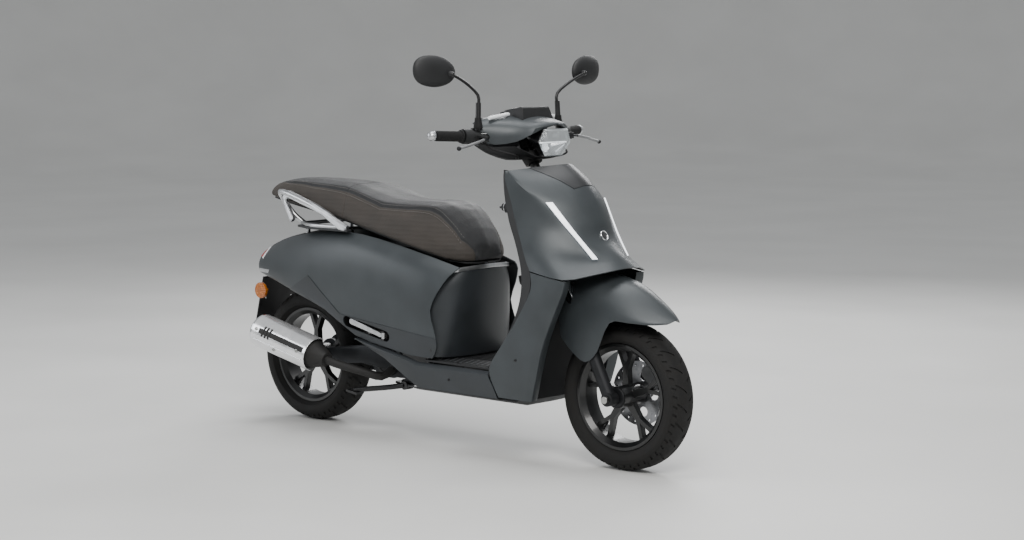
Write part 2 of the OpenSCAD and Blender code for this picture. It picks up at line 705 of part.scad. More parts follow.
// The instrument housing's outer shape, standing in its opening in the headset's cover.
module pod_shape(grow) {
    hull() {
        across(steer_point([42, 0, 1086]), 2 * (64 + grow), 9 + grow);
        across(steer_point([56, 0, 1044]), 2 * (76 + grow), 7 + grow);
        across(steer_point([-42, 0, 1044]), 2 * (62 + grow), 6 + grow);
        across(steer_point([-44, 0, 1072]), 2 * (58 + grow), 5 + grow);
    }
}

module instrument_pod() {
    color("#1b1c1e") difference() {
        pod_shape(0);
        // recess of the display, facing the rider
        translate(steer_point([-40, -50, 1080])) rotate([0, -10, 0]) cube([70, 100, 20]);
    }
}

perch_in = 148;

module lever_perches() {
    color("#17181a") both_sides() difference() {
        union() {
            at_bar(perch_in) translate([0, 0, -12]) cylinder(h = 24, r = bar_d / 2 + 7);
            hull() {
                translate(on_bar(perch_in) + [12, 0, -4]) cylinder(h = 18, r = 9, center = true, $fn = 32);
                translate(lever_pivot) cylinder(h = 18, r = 10, center = true, $fn = 32);
            }
            translate(lever_pivot) cylinder(h = 22, r = lever_pin_r, center = true);
        }
        at_bar(perch_in) translate([0, 0, -60]) cylinder(h = 120, d = bar_d + 2 * run_gap);
        difference() {
            translate(lever_pivot) cylinder(h = 8, r = 30, center = true);
            translate(lever_pivot) cylinder(h = 30, r = lever_pin_r, center = true);
            translate(on_bar(perch_in) + [4, 0, -4]) cylinder(h = 30, r = 18, center = true);
        }
    }
}

lever_pin_r = 4;
lever_pivot = on_bar(perch_in) + [46, -4, -6];
lever_ball = lever_pivot + [10, -132, -24];

module brake_lever() {
    color("#2a2b2d") difference() {
        union() {
            translate(lever_pivot) cylinder(h = 6.6, r = 9, center = true);
            hose([lever_pivot + [4, -4, 0], lever_pivot + [12, -24, -2], lever_pivot + [16, -56, -8],
                lever_pivot + [14, -96, -17], lever_ball], 3.2, [1, 0, 0], 3, 8);
            translate(lever_ball) sphere(r = 7);
        }
        translate(lever_pivot) cylinder(h = 60, r = lever_pin_r + run_gap, center = true);
    }
}

module brake_lever_right() brake_lever();
module brake_lever_left() mirror([0, 1, 0]) brake_lever();

// Switch boxes: split castings round the bar, inboard of the grips.
switch_in = 115;
switch_r = 23;
switch_len = 34;

module switch_boxes() {
    color("#141516") difference() {
        both_sides() at_bar(switch_in) translate([0, 0, -switch_len / 2])
            cylinder(h = switch_len - 4, r = switch_r);
        both_sides() at_bar(switch_in) translate([0, 0, -60]) cylinder(h = 120, d = bar_d + 2 * seat_gap);
        at_bar(switch_in) switch_pocket(0, 4.5);
        mirror([0, 1, 0]) at_bar(switch_in) {
            switch_pocket(25, 4.5);
            switch_pocket(-25, 5.5);
        }
    }
}

// Pocket for a button on the rider's side of a switch box, turned by angle about the bar.
module switch_pocket(angle, r) {
    rotate([0, 0, 140 + angle]) translate([0, switch_r - 7, -2]) rotate([-90, 0, 0]) cylinder(h = 20, r = r);
}

// A push button in such a pocket.
module push_button(angle, r) {
    rotate([0, 0, 140 + angle]) translate([0, switch_r - 4, -2]) rotate([-90, 0, 0]) cylinder(h = 6.5, r = r);
}

module start_button() {
    color("firebrick") at_bar(switch_in) push_button(0, 4.5 - run_gap);
}

module horn_button() {
    color("gold") mirror([0, 1, 0]) at_bar(switch_in) push_button(25, 4.5 - run_gap);
}

module turn_switch() {
    color("gray") mirror([0, 1, 0]) at_bar(switch_in) push_button(-25, 3);
}

grip_len = 96;
grip_r = 16;

module grip() {
    at_bar(0) translate([0, 0, -grip_len - 2]) difference() {
        union() {
            cylinder(h = grip_len, r = grip_r);
            cylinder(h = 5, r = grip_r + 4);
        }
        translate([0, 0, -5]) cylinder(h = grip_len + 10, d = bar_d + 2 * run_gap);
    }
}

module left_grip() {
    color("#1c1c1d") mirror([0, 1, 0]) grip();
}

module throttle_grip() {
    color("#1c1c1d") grip();
}

module bar_ends() {
    color("silver") both_sides() at_bar(0) {
        translate([0, 0, seat_gap]) cylinder(h = 10, r = grip_r - 1);
        translate([0, 0, seat_gap + 10]) cylinder(h = 7, r1 = grip_r - 1, r2 = 7);
    }
}

mirror_base = on_bar(perch_in) + [4, 8, 0];
mirror_ball = [bar_centre.x - 12, -bar_w / 2 + 40, 1197];
mirror_centre = mirror_ball + [-33, -44, 9];

module mirror_stems() {
    boot_top = mirror_base + [-2, 4, 104];
    color("#1a1b1d") both_sides() {
        rod(mirror_base + [0, 0, bar_d / 2 + 9], boot_top, 9, 8);
        hose([boot_top - [0, 0, 12], boot_top + [-1, -2, 24], (boot_top + mirror_ball) / 2 + [0, 0, 18],
            mirror_ball], 5, [1, 0, 0]);
        translate(mirror_ball) sphere(r = 8);
    }
}

mirror_w = 158;
mirror_h = 96;
mirror_toe = 8;

module mirror_head() {
    color("#1c1d20") translate(mirror_centre) rotate([0, 0, -mirror_toe]) difference() {
        union() {
            hull() {
                for (s = [-1, 1]) translate([0, s * (mirror_w - mirror_h) / 2, 0]) rotate([0, 90, 0])
                    cylinder(h = 5, r = mirror_h / 2, center = true, $fn = 32);
                for (s = [-1, 1]) translate([18, s * (mirror_w - mirror_h) / 3, 0]) rotate([0, 90, 0])
                    cylinder(h = 4, r = mirror_h / 3, center = true, $fn = 32);
            }
            rotate([0, 0, mirror_toe]) translate(mirror_ball - mirror_centre - [20, 0, 0]) rotate([0, 90, 0])
                cylinder(h = 12, r = 9);
        }
        rotate([0, 0, mirror_toe]) translate(mirror_ball - mirror_centre) sphere(r = 8 + seat_gap);
    }
}

module mirror_head_right() mirror_head();
module mirror_head_left() mirror([0, 1, 0]) mirror_head();

// Brake hoses: from each lever perch down round the headset into its neck.
hose_end = steer_point([40, -78, 938]);

module brake_hoses() {
    start = on_bar(perch_in) + [30, 10, -19];
    color("#111") both_sides()
        hose([start, start + [14, 22, -20], steer_point([70, -128, 950]), steer_point([60, -104, 940]),
            hose_end], 3.2, [1, 0, 0], 3);
}

// Half rows of the fender, from the side edge to the crest, back to front.
fender_rows = [
    [[-178, -104, 400], [-186, -108, 480], [-190, -86, 540], [-186, -44, 572], [-185, 0, 578]],
    [[-130, -112, 362], [-140, -113, 470], [-140, -92, 556], [-134, -44, 592], [-132, 0, 599]],
    [[-76, -114, 334], [-90, -114, 450], [-86, -94, 548], [-78, -46, 590], [-76, 0, 598]],
    [[-32, -113, 368], [-34, -112, 450], [-32, -92, 532], [-26, -46, 578], [-24, 0, 588]],
    [[8, -104, 458], [14, -102, 480], [24, -84, 518], [34, -42, 560], [38, 0, 570]],
    [[70, -90, 462], [74, -88, 472], [80, -72, 496], [90, -36, 530], [94, 0, 541]],
    [[130, -64, 458], [134, -62, 463], [140, -50, 474], [148, -26, 494], [152, 0, 502]],
    [[168, -30, 460], [172, -28, 462], [176, -22, 465], [182, -12, 470], [186, 0, 474]],
];

module front_fender() {
    color("#4b5157") difference() {
        panel(smooth_grid(
            [for (row = fender_rows) whole_row([for (p = row) [xf + p.x, p.y, p.z]])], 2, 3), -panel_t);
        for (y = [-leg_y, leg_y])
            rod(leg_point(axle_z + 240, y), leg_point(crown_z + 40, y), fork_tube_d / 2 + move_gap);
    }
}

// ---------- lower fork and front wheel ----------

axle_bore = axle_d + 2 * run_gap;

module fork_sliders() {
    color("#1e1f20") difference() {
        union() for (y = [-leg_y, leg_y]) {
            rod(leg_point(axle_z - 6, y), leg_point(slider_top_z, y), slider_d / 2);
            across([xf, y, axle_z], slider_d - 4, 21);
        }
        for (y = [-leg_y, leg_y])
            rod(leg_point(axle_z + 27, y), leg_point(slider_top_z + 30, y), slider_bore / 2);
        across([xf, 0, axle_z], 400, axle_bore / 2);
    }
}

module front_axle() {
    out = leg_y + slider_d / 2;
    color("silver") {
        across([xf, 0, axle_z], 2 * out + 12, axle_d / 2);
        across([xf, -out - 5, axle_z], 10, 11);
        across([xf, out + 5, axle_z], 10, 11);
    }
}

disc_y = 58;
disc_t = 4;

module brake_caliper() {
    color("#8b8c88") difference() {
        translate([xf + 62, disc_y, axle_z + 48]) rotate([0, 40, 0]) hull()
            for (x = [-30, 30]) translate([x, 0, 0]) rotate([90, 0, 0]) cylinder(h = 44, r = 22, center = true);
        across([xf, disc_y, axle_z], 10, disc_d / 2 + 6);
        rod(leg_point(axle_z - 20, leg_y), leg_point(slider_top_z, leg_y), slider_d / 2 + seat_gap);
        translate([xf - 200, 0, axle_z - 100]) cube([400, disc_y - 13, 400]);
    }
}

hub_r = 34;

// Cast wheel: barrel, hub and split spokes, bored for its bearings' sleeve.
module cast_rim(bore_d, hub_half) {
    inner_r = rim_d / 2 - 22;
    rotate([90, 0, 0]) difference() {
        union() {
            rotate_extrude($fn = 96) polygon([
                [inner_r, -rim_w / 2 + 14], [rim_d / 2 - 9, -rim_w / 2], [rim_d / 2, -rim_w / 2],
                [rim_d / 2, -rim_w / 2 + 7], [rim_d / 2 - 10, -rim_w / 2 + 11], [rim_d / 2 - 18, -14],
                [rim_d / 2 - 18, 14], [rim_d / 2 - 10, rim_w / 2 - 11], [rim_d / 2, rim_w / 2 - 7],
                [rim_d / 2, rim_w / 2], [rim_d / 2 - 9, rim_w / 2], [inner_r, rim_w / 2 - 14],
            ]);
            cylinder(h = 2 * hub_half, r = hub_r, center = true);
            for (i = [0 : spokes - 1]) rotate([0, 0, i * 360 / spokes + 18])
                translate([0, 0, -9]) linear_extrude(height = 22) {
                    polygon([[20, -13], [84, -9], [inner_r + 3, -34], [inner_r + 3, -20], [96, 0],
                        [inner_r + 3, 20], [inner_r + 3, 34], [84, 9], [20, 13]]);
                }
        }
        cylinder(h = 400, d = bore_d, center = true);
    }
}

module front_rim() {
    color("#161718") translate([xf, 0, axle_z]) cast_rim(axle_d + 4 * run_gap, disc_y - disc_t / 2);
}

// Tyre section: flanks up from the beads and a crown across the tread.
module tyre(width) {
    bead = rim_d / 2 + 0.3;
    crown = tyre_d / 2;
    section = [
        [bead - 9, -rim_w / 2 + 12], [bead, -rim_w / 2 + 7.6], [bead + 2, -rim_w / 2 + 1],
        [bead + 12, -width / 2 + 3], [bead + 28, -width / 2], [crown - 24, -width / 2 + 5],
        [crown - 10, -width / 2 + 18], [crown - 2.5, -width / 4], [crown, -width / 9],
        [crown, width / 9], [crown - 2.5, width / 4], [crown - 10, width / 2 - 18],
        [crown - 24, width / 2 - 5], [bead + 28, width / 2], [bead + 12, width / 2 - 3],
        [bead + 2, rim_w / 2 - 1], [bead, rim_w / 2 - 7.6], [bead - 9, rim_w / 2 - 12],
        [bead - 9, rim_w / 2 - 19], [bead + 6, rim_w / 2 - 12], [bead + 14, width / 2 - 12],
        [bead + 28, width / 2 - 9], [crown - 26, width / 2 - 15], [crown - 14, width / 4],
        [crown - 12, 0], [crown - 14, -width / 4], [crown - 26, -width / 2 + 15],
        [bead + 28, -width / 2 + 9], [bead + 14, -width / 2 + 12], [bead + 6, -rim_w / 2 + 12],
        [bead - 9, -rim_w / 2 + 19],
    ];
    rotate([90, 0, 0]) rotate_extrude($fn = 96) polygon(section);
}

module front_tyre() {
    color("#1a1a1a") translate([xf, 0, axle_z]) tyre(front_tyre_w);
}

module brake_disc() {
    color("#9a9a98") difference() {
        across([xf, disc_y, axle_z], disc_t, disc_d / 2);
        across([xf, disc_y, axle_z], 20, axle_d / 2 + 8);
        for (i = [0 : 4]) translate([xf, disc_y, axle_z]) rotate([0, i * 72, 0])
            translate([disc_d / 2 - 42, 0, 0]) rotate([90, 0, 0]) cylinder(h = 20, r = 15, center = true);
        for (i = [0 : 19]) translate([xf, disc_y, axle_z]) rotate([0, i * 18 + 9, 0])
            translate([disc_d / 2 - 12, 0, 0]) rotate([90, 0, 0]) cylinder(h = 20, r = 3, center = true);
    }
}

// ---------- engine, rear wheel and suspension ----------

stand_pivot = [xr + 480, 0, 172];
stand_pin_r = 6;
rear_hub_half = 44;

module engine_case() {
    color("#26282a") difference() {
        union() {
            // crankcase, with the pivot eye above it
            hull() {
                across([xr + 410, 20, 238], 150, 50);
                across([xr + 370, 20, 244], 150, 56);
            }
            across([engine_pivot.x, 0, engine_pivot.z], 2 * (rail_y - 14), pivot_r + 9);
            hull() {
                across([engine_pivot.x - 4, 0, engine_pivot.z], 100, pivot_r + 7, $fn = 32);
                across([xr + 430, 0, 250], 100, 22, $fn = 32);
            }
            // belt drive casing along the left side
            hull() {
                across([xr + 396, 112, 250], 56, 70);
                across([xr + 20, 112, axle_z + 4], 56, 58);
            }
            // final drive and axle stub
            across([xr, 74, axle_z], 36, 46);
            across([xr, 0, axle_z], 2 * 98, rear_axle_d / 2);
            // right-hand support arm
            hull() {
                across([xr + 4, -95, axle_z], 12, 24);
                across([xr + 300, -84, 262], 12, 30);
            }
            hull() {
                across([xr + 300, -84, 262], 12, 30);
                across([xr + 400, -54, 250], 12, 36);
            }
            // stand lugs
            for (y = [-48, 48]) across([stand_pivot.x, y, stand_pivot.z], 16, 14);
            hull() {
                across([stand_pivot.x, 0, stand_pivot.z + 30], 112, 8);
                across([stand_pivot.x - 40, 0, stand_pivot.z + 30], 112, 10);
            }
            for (y = [-48, 48]) translate([stand_pivot.x - 12, y - 8, stand_pivot.z])
                cube([24, 16, 32]);
            // cylinder and head, reaching forward under the bin
            hull() {
                across([xr + 470, 20, 300], 90, 22);
                across([xr + 400, 20, 280], 100, 30);
            }
            // shock's lower lug
            translate([shock_low.x - 12, 104, axle_z + 30]) cube([24, 12, shock_low.z - axle_z - 30]);
            across([shock_low.x, 110, shock_low.z], 12, 14);
            across([shock_low.x, 125, shock_low.z], 42, shock_pin_r);
        }
        across([engine_pivot.x, 0, engine_pivot.z], 400, pivot_r + run_gap);
        for (y = [-48, 48]) across([stand_pivot.x, y, stand_pivot.z], 20, stand_pin_r + run_gap);
    }
}

muffler_back = [xr - 80, -196, 322];
muffler_front = [xr + 178, -192, 262];
muffler_r = 52;

// Moves the child onto the silencer's axis, with its Z pointing forward.
module on_muffler() {
    d = muffler_front - muffler_back;
    translate(muffler_back) rotate([0, acos(d.z / norm(d)), atan2(d.y, d.x)]) children();
}
muffler_len = norm(muffler_front - muffler_back);

module exhaust() {
    color("#232323") {
        on_muffler() rotate_extrude() polygon([
            [0, -14], [muffler_r - 20, -14], [muffler_r, 4], [muffler_r, muffler_len - 10],
            [muffler_r - 8, muffler_len + 12], [24, muffler_len + 62], [0, muffler_len + 62],
        ]);
        hose([muffler_front + [40, 0, -8], muffler_front + [90, 10, -24], [xr + 360, -140, 214],
            [xr + 410, -108, 200], [xr + 424, -73, 222]], 14, steps = 3, sides = 12);
        translate([muffler_front.x - 60, muffler_front.y + 20, axle_z + 12]) cube([30, 70, 26]);
    }
}

module muffler_shield() {
    inner = muffler_r + 3;
    color("gainsboro") on_muffler() difference() {
        translate([0, 0, 12]) cylinder(h = muffler_len - 4, r = inner + 3);
        cylinder(h = muffler_len + 60, r = inner);
        rotate([0, 0, -20]) translate([-150, 6, -10]) cube([300, 200, muffler_len + 60]);
    }
}

module rear_rim() {
    color("#161718") translate([xr, 0, axle_z]) cast_rim(rear_axle_d + 2 * run_gap, rear_hub_half);
}

module rear_tyre() {
    color("#1a1a1a") translate([xr, 0, axle_z]) tyre(rear_tyre_w);
}

shock_dir = unit(shock_low - shock_top);
shock_len = norm(shock_low - shock_top);

module shock_body() {
    color("#2b2b2c") difference() {
        union() {
            rod(shock_top + 12 * shock_dir, shock_top + 160 * shock_dir, 17);
            across(shock_top, 18, shock_pin_r + 9);
        }
        across(shock_top, 60, shock_pin_r + run_gap);
        rod(shock_top + 40 * shock_dir, shock_top + 190 * shock_dir, shock_rod_r + run_gap);
    }
}

shock_rod_r = 7;
eye_gap = 4;

module shock_rod() {
    color("silver") difference() {
        union() {
            rod(shock_top + 110 * shock_dir, shock_top + (shock_len - 14) * shock_dir, shock_rod_r);
            rod(shock_top + (shock_len - 40) * shock_dir, shock_top + (shock_len - 32) * shock_dir, 21);
            across(shock_low, 18, shock_pin_r + 10);
        }
        across(shock_low, 60, shock_pin_r + eye_gap);
    }
}

module centre_stand() {
    foot = [stand_pivot.x - 186, -118, stand_pivot.z - 34];
    knee = stand_pivot + [-70, -86, -12];
    color("#202122") {
        across(stand_pivot, 136, stand_pin_r);
        both_sides() {
            across([stand_pivot.x, -68, stand_pivot.z], 12, 14);
            bent_bar([[stand_pivot.x - 4, -69, stand_pivot.z], knee, foot + [0, 0, 6]], 9);
            translate(foot) rotate([0, 8, 0]) translate([-24, -16, -4]) cube([48, 32, 8]);
        }
        across([knee.x, 0, knee.z], 2 * 84, 7);
    }
}

// ---------- seat ----------

// Half rings of the cushion along its length: side low, side, shoulder, crown.
seat_rows = [
    [[-136, -70, 776], [-140, -74, 784], [-136, -50, 796], [-134, 0, 800]],
    [[-110, -104, 774], [-112, -112, 788], [-100, -82, 814], [-98, 0, 824]],
    [[-20, -122, 760], [-20, -134, 780], [-10, -96, 824], [-10, 0, 832]],
    [[110, -136, 742], [110, -146, 760], [114, -104, 822], [114, 0, 830]],
    [[240, -146, 722], [240, -152, 740], [246, -106, 816], [248, 0, 824]],
    [[330, -150, 704], [330, -156, 722], [330, -116, 798], [330, 0, 804]],
    [[430, -152, 682], [430, -160, 702], [430, -116, 774], [430, 0, 782]],
    [[540, -152, 656], [540, -158, 680], [540, -108, 770], [540, 0, 777]],
    [[640, -144, 632], [642, -148, 660], [640, -98, 768], [640, 0, 777]],
    [[720, -124, 610], [724, -128, 644], [698, -86, 742], [700, 0, 756]],
    [[766, -92, 604], [772, -96, 628], [752, -66, 690], [756, 0, 700]],
    [[788, -52, 603], [796, -54, 618], [790, -36, 634], [794, 0, 640]],
];

function seat_point(p) = [xr + p.x, p.y, p.z + seat_h - drawn_seat_h];

// The cushion is closed underneath by a flat floor between its low edges.
module seat_cushion() {
    rings = [for (row = smooth_grid([for (row = seat_rows) [for (p = row) seat_point(p)]], 2, 2))
        concat(row, [for (i = [len(row) - 2 : -1 : 0]) [row[i].x, -row[i].y, row[i].z]])];
    color("#36322f") loft(rings);
}

module seat_base() {
    drop = 3;
    t = 5;
    rows = [for (row = [for (r = seat_rows) [for (p = r) seat_point(p)]])
        [for (s = [-0.9, -0.45, 0, 0.45, 0.9]) [row[0].x, -s * row[0].y, row[0].z - drop]]];
    color("#151516") difference() {
        union() {
            panel(rows, -t);
            translate([seat_hinge.x - 26, -12, seat_hinge.z]) cube([20, 24, 5]);
            across(seat_hinge, 24, 5.4);
        }
        across(seat_hinge, 60, hinge_pin_r + run_gap);
    }
}

// ---------- small moving pieces on the body ----------

module footpeg() {
    color("silver") difference() {
        union() {
            hull() {
                translate(peg_hinge - [16, 0, -4]) rotate([90, 0, 0])
                    cylinder(h = 11, r = 7, center = true, $fn = 24);
                translate(peg_tip) rotate([90, 0, 0]) cylinder(h = 9, r = 9, center = true, $fn = 24);
            }
            translate(peg_hinge - [0, 0, 9.6]) cylinder(h = 19.2, r = 6.6);
            translate(peg_hinge - [18, 4, 5]) cube([18, 8, 12]);
        }
        translate(peg_hinge) cylinder(h = 60, r = hinge_pin_r + run_gap, center = true);
    }
}

module footpeg_right() footpeg();
module footpeg_left() mirror([0, 1, 0]) footpeg();

module luggage_hook() {
    reach = 34;
    color("#202122") difference() {
        union() {
            across(hook_pivot, 17, 7);
            bent_bar([hook_pivot - [4, 0, 2], hook_pivot - [reach, 0, 16], hook_pivot - [reach + 6, 0, -14]],
                4.5, sides = 10, corner = 12);
        }
        across(hook_pivot, 30, hinge_pin_r + run_gap);
    }
}

module ignition_knob() {
    color("#101011") translate(knob_at) rotate([0, -90, 0]) {
        translate([0, 0, -24]) cylinder(h = 30, r = knob_r - 3);
        translate([0, 0, 5]) cylinder(h = 14, r = knob_r);
        translate([-3, -knob_r - 2, 10]) cube([6, 2 * knob_r + 4, 14]);
    }
}

frame();
front_shield();
inner_shield();
light_strips();
footboard();
floor_skirts();
belly_pan();
side_panels();
seat_front_cover();
tail_cover();
tail_lamp();
rear_mudguard();
side_reflectors();
grab_rail();
storage_bin();
peg_brackets();
steering_stem();
fork_tubes();
handlebar();
headset_cover();
headset_back_cover();
headlamp_bowl();
headlamp_lens();
front_indicators();
instrument_pod();
lever_perches();
switch_boxes();
left_grip();
bar_ends();
mirror_stems();
brake_hoses();
front_fender();
throttle_grip();
brake_lever_right();
brake_lever_left();
mirror_head_right();
mirror_head_left();
start_button();
horn_button();
turn_switch();
fork_sliders();
front_axle();
brake_caliper();
front_rim();
front_tyre();
brake_disc();
engine_case();
exhaust();
muffler_shield();
rear_rim();
rear_tyre();
shock_body();
shock_rod();
centre_stand();
seat_base();
seat_cushion();
footpeg_right();
footpeg_left();
luggage_hook();
ignition_knob();
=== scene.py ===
"""Moped scooter: finished shells, upholstery, lamps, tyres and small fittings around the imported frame."""
import json
import math

import bpy
import bmesh
from mathutils import Matrix, Vector
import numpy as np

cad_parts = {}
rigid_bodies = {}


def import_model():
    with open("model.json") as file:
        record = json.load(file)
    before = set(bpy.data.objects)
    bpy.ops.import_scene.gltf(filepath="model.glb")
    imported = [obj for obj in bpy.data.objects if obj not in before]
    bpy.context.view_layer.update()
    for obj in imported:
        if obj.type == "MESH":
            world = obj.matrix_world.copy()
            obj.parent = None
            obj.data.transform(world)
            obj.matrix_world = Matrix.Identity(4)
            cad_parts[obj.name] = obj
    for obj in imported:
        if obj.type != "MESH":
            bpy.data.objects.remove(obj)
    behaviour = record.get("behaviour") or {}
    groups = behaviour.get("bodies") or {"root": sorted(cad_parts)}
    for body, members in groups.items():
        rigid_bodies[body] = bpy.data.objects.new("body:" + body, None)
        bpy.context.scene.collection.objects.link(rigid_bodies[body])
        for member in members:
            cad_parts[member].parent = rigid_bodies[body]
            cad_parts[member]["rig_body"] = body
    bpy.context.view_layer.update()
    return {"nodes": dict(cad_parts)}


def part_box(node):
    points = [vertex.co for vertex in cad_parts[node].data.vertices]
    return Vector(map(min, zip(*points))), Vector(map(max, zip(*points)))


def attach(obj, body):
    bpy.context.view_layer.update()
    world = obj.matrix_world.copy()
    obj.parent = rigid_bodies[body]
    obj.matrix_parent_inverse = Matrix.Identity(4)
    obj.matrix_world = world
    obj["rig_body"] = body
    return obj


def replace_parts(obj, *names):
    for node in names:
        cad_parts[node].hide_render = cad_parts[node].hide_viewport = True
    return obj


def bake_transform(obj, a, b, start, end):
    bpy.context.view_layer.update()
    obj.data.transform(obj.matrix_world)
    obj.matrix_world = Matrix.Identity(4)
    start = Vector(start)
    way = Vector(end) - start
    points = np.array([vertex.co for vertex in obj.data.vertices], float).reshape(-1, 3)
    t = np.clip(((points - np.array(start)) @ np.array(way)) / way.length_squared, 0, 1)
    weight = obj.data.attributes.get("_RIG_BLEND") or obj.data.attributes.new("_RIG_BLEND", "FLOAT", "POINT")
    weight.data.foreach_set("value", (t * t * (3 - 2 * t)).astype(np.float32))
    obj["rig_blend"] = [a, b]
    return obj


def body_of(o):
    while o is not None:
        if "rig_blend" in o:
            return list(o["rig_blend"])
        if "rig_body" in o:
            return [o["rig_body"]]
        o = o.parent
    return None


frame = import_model()

MM = 0.001
SIDES = (-1, 1)
NAMED_SIDES = ((-1, "right"), (1, "left"))
# Points of a CAD node nearer than this, in metres, are one point.
SAME_PLACE = 1e-5
SAME_PLACE_ON_OVERLAY = 2e-5
OVERLAY_WALL_MM = 1.2


# ---------- places taken from the frame ----------


def centre_of(node):
    low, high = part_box(node)
    return (low + high) / 2


front_axle = centre_of("front_rim")
tyre_radius = (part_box("front_tyre")[1].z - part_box("front_tyre")[0].z) / 2


def at(x, y, z):
    """A place given in millimetres in the frame's own axes, in metres."""
    return Vector((x, y, z)) * MM


def ray(degrees):
    """A direction in the machine's side plane: 0 faces forward, 90 up."""
    angle = math.radians(degrees)
    return Vector((math.cos(angle), 0, math.sin(angle)))


def add_object(name, data):
    made = bpy.data.objects.new(name, data)
    bpy.context.scene.collection.objects.link(made)
    return made


# ---------- camera and lamps ----------

LENS_MM = 70.96
CAMERA_PLACE = (4.366, -4.814, 1.249)
CAMERA_DIP = 6.03
CAMERA_HEADING = 40.8


def add_camera():
    data = bpy.data.cameras.new("camera")
    data.sensor_width = 36
    data.lens = LENS_MM
    camera = add_object("camera", data)
    camera.location = CAMERA_PLACE
    camera.rotation_euler = (math.radians(90 - CAMERA_DIP), 0, math.radians(CAMERA_HEADING))
    bpy.context.scene.camera = camera


def add_softbox(name, place, aim, size, power, colour):
    """An area lamp of that size, pointing from place to aim."""
    data = bpy.data.lights.new(name, "AREA")
    data.shape = "RECTANGLE"
    data.size, data.size_y = size
    data.energy = power
    data.color = colour
    lamp = add_object(name, data)
    lamp.location = place
    lamp.rotation_euler = (Vector(aim) - Vector(place)).to_track_quat("-Z", "Y").to_euler()


# ---------- materials ----------

# A wave texture of scale 1 has this many stripes in a metre.
WAVES_PER_SCALE = 6.2832


def linear(hex_colour):
    """An sRGB hex colour such as 4b5157 as linear red, green, blue and alpha."""
    parts = [int(hex_colour[i:i + 2], 16) / 255 for i in (0, 2, 4)]
    return tuple(c / 12.92 if c <= 0.04045 else ((c + 0.055) / 1.055) ** 2.4 for c in parts) + (1,)


def add_node(tree, kind, values=None, links=None, **settings):
    """Adds one shader node with its settings, socket values and links from other nodes' outputs."""
    made = tree.nodes.new("ShaderNode" + kind)
    for name, value in settings.items():
        setattr(made, name, value)
    for name, value in (values or {}).items():
        made.inputs[name].default_value = value
    for name, (source, output) in (links or {}).items():
        tree.links.new(source.outputs[output], made.inputs[name])
    return made


def texture(tree, kind, scale, values=None, **settings):
    """A procedural texture laid out in the object's own space."""
    return add_node(tree, kind, {"Scale": scale, **(values or {})}, {"Vector": (add_node(tree, "TexCoord"), "Object")},
                    **settings)


def vary(tree, shader, size_mm, colours, roughness):
    """Drifts the colour between two hex values and the roughness between two numbers over size_mm."""
    noise = texture(tree, "TexNoise", 1000 / size_mm, {"Detail": 4})
    ramp = add_node(tree, "ValToRGB", links={"Fac": (noise, "Fac")})
    for stop, position, colour in zip(ramp.color_ramp.elements, (0.35, 0.65), colours):
        stop.position = position
        stop.color = linear(colour)
    tree.links.new(ramp.outputs["Color"], shader.inputs["Base Color"])
    level = add_node(tree, "MapRange", {"From Min": 0.3, "From Max": 0.7, "To Min": roughness[0],
                                        "To Max": roughness[1]}, {"Value": (noise, "Fac")})
    tree.links.new(level.outputs["Result"], shader.inputs["Roughness"])


def emboss(tree, shader, height, output, depth_mm, strength=1.0):
    """Raises the surface by depth_mm where the height node's output is high."""
    bump = add_node(tree, "Bump", {"Distance": depth_mm * MM, "Strength": strength},
                    {"Height": (height, output)})
    if shader.inputs["Normal"].is_linked:
        tree.links.new(shader.inputs["Normal"].links[0].from_socket, bump.inputs["Normal"])
    tree.links.new(bump.outputs["Normal"], shader.inputs["Normal"])


def new_material(name, patch_mm, colours, roughness, grained=None, **values):
    """A surface whose colour and roughness drift over patch_mm, if given; grained is its grain's (size, depth) in
    millimetres. The other values go to the shader's sockets, with underscores for spaces."""
    material = bpy.data.materials.new(name)
    material.use_nodes = True
    tree = material.node_tree
    shader = tree.nodes["Principled BSDF"]
    for socket, value in values.items():
        shader.inputs[socket.replace("_", " ")].default_value = value
    if patch_mm:
        vary(tree, shader, patch_mm, colours, roughness)
    if grained:
        size_mm, depth_mm = grained
        emboss(tree, shader, texture(tree, "TexNoise", 1000 / size_mm, {"Detail": 3}), "Fac", depth_mm)
    return material, tree, shader


def finish(*description, **values):
    return new_material(*description, **values)[0]


def satin_titanium_paint(name, colours):
    # Two-stage metallic paint under a satin clear coat: fine flake, soft wide highlights.
    material, tree, shader = new_material(name, 90, colours, (0.42, 0.5), Metallic=0.35, Coat_Weight=0.18,
                                          Coat_Roughness=0.34)
    # Flake is 0.05 mm on the real paint; drawn at 0.9 mm so that it shows.
    emboss(tree, shader, texture(tree, "TexVoronoi", 1000 / 0.9), "Distance", 0.02, 0.35)
    return material


def grained_abs(name, colours, *grained):
    # Spark-eroded mould texture: matt, with a fine even grain.
    return finish(name, 45, colours, (0.55, 0.68), grained)


def soft_rubber():
    # Moulded grip rubber with a fine stipple.
    material, tree, shader = new_material("stippled grip rubber", 18, ("121213", "19191a"), (0.66, 0.8),
                                          Specular_IOR_Level=0.3)
    emboss(tree, shader, texture(tree, "TexVoronoi", 1000 / 1.8), "Distance", -0.12)
    return material


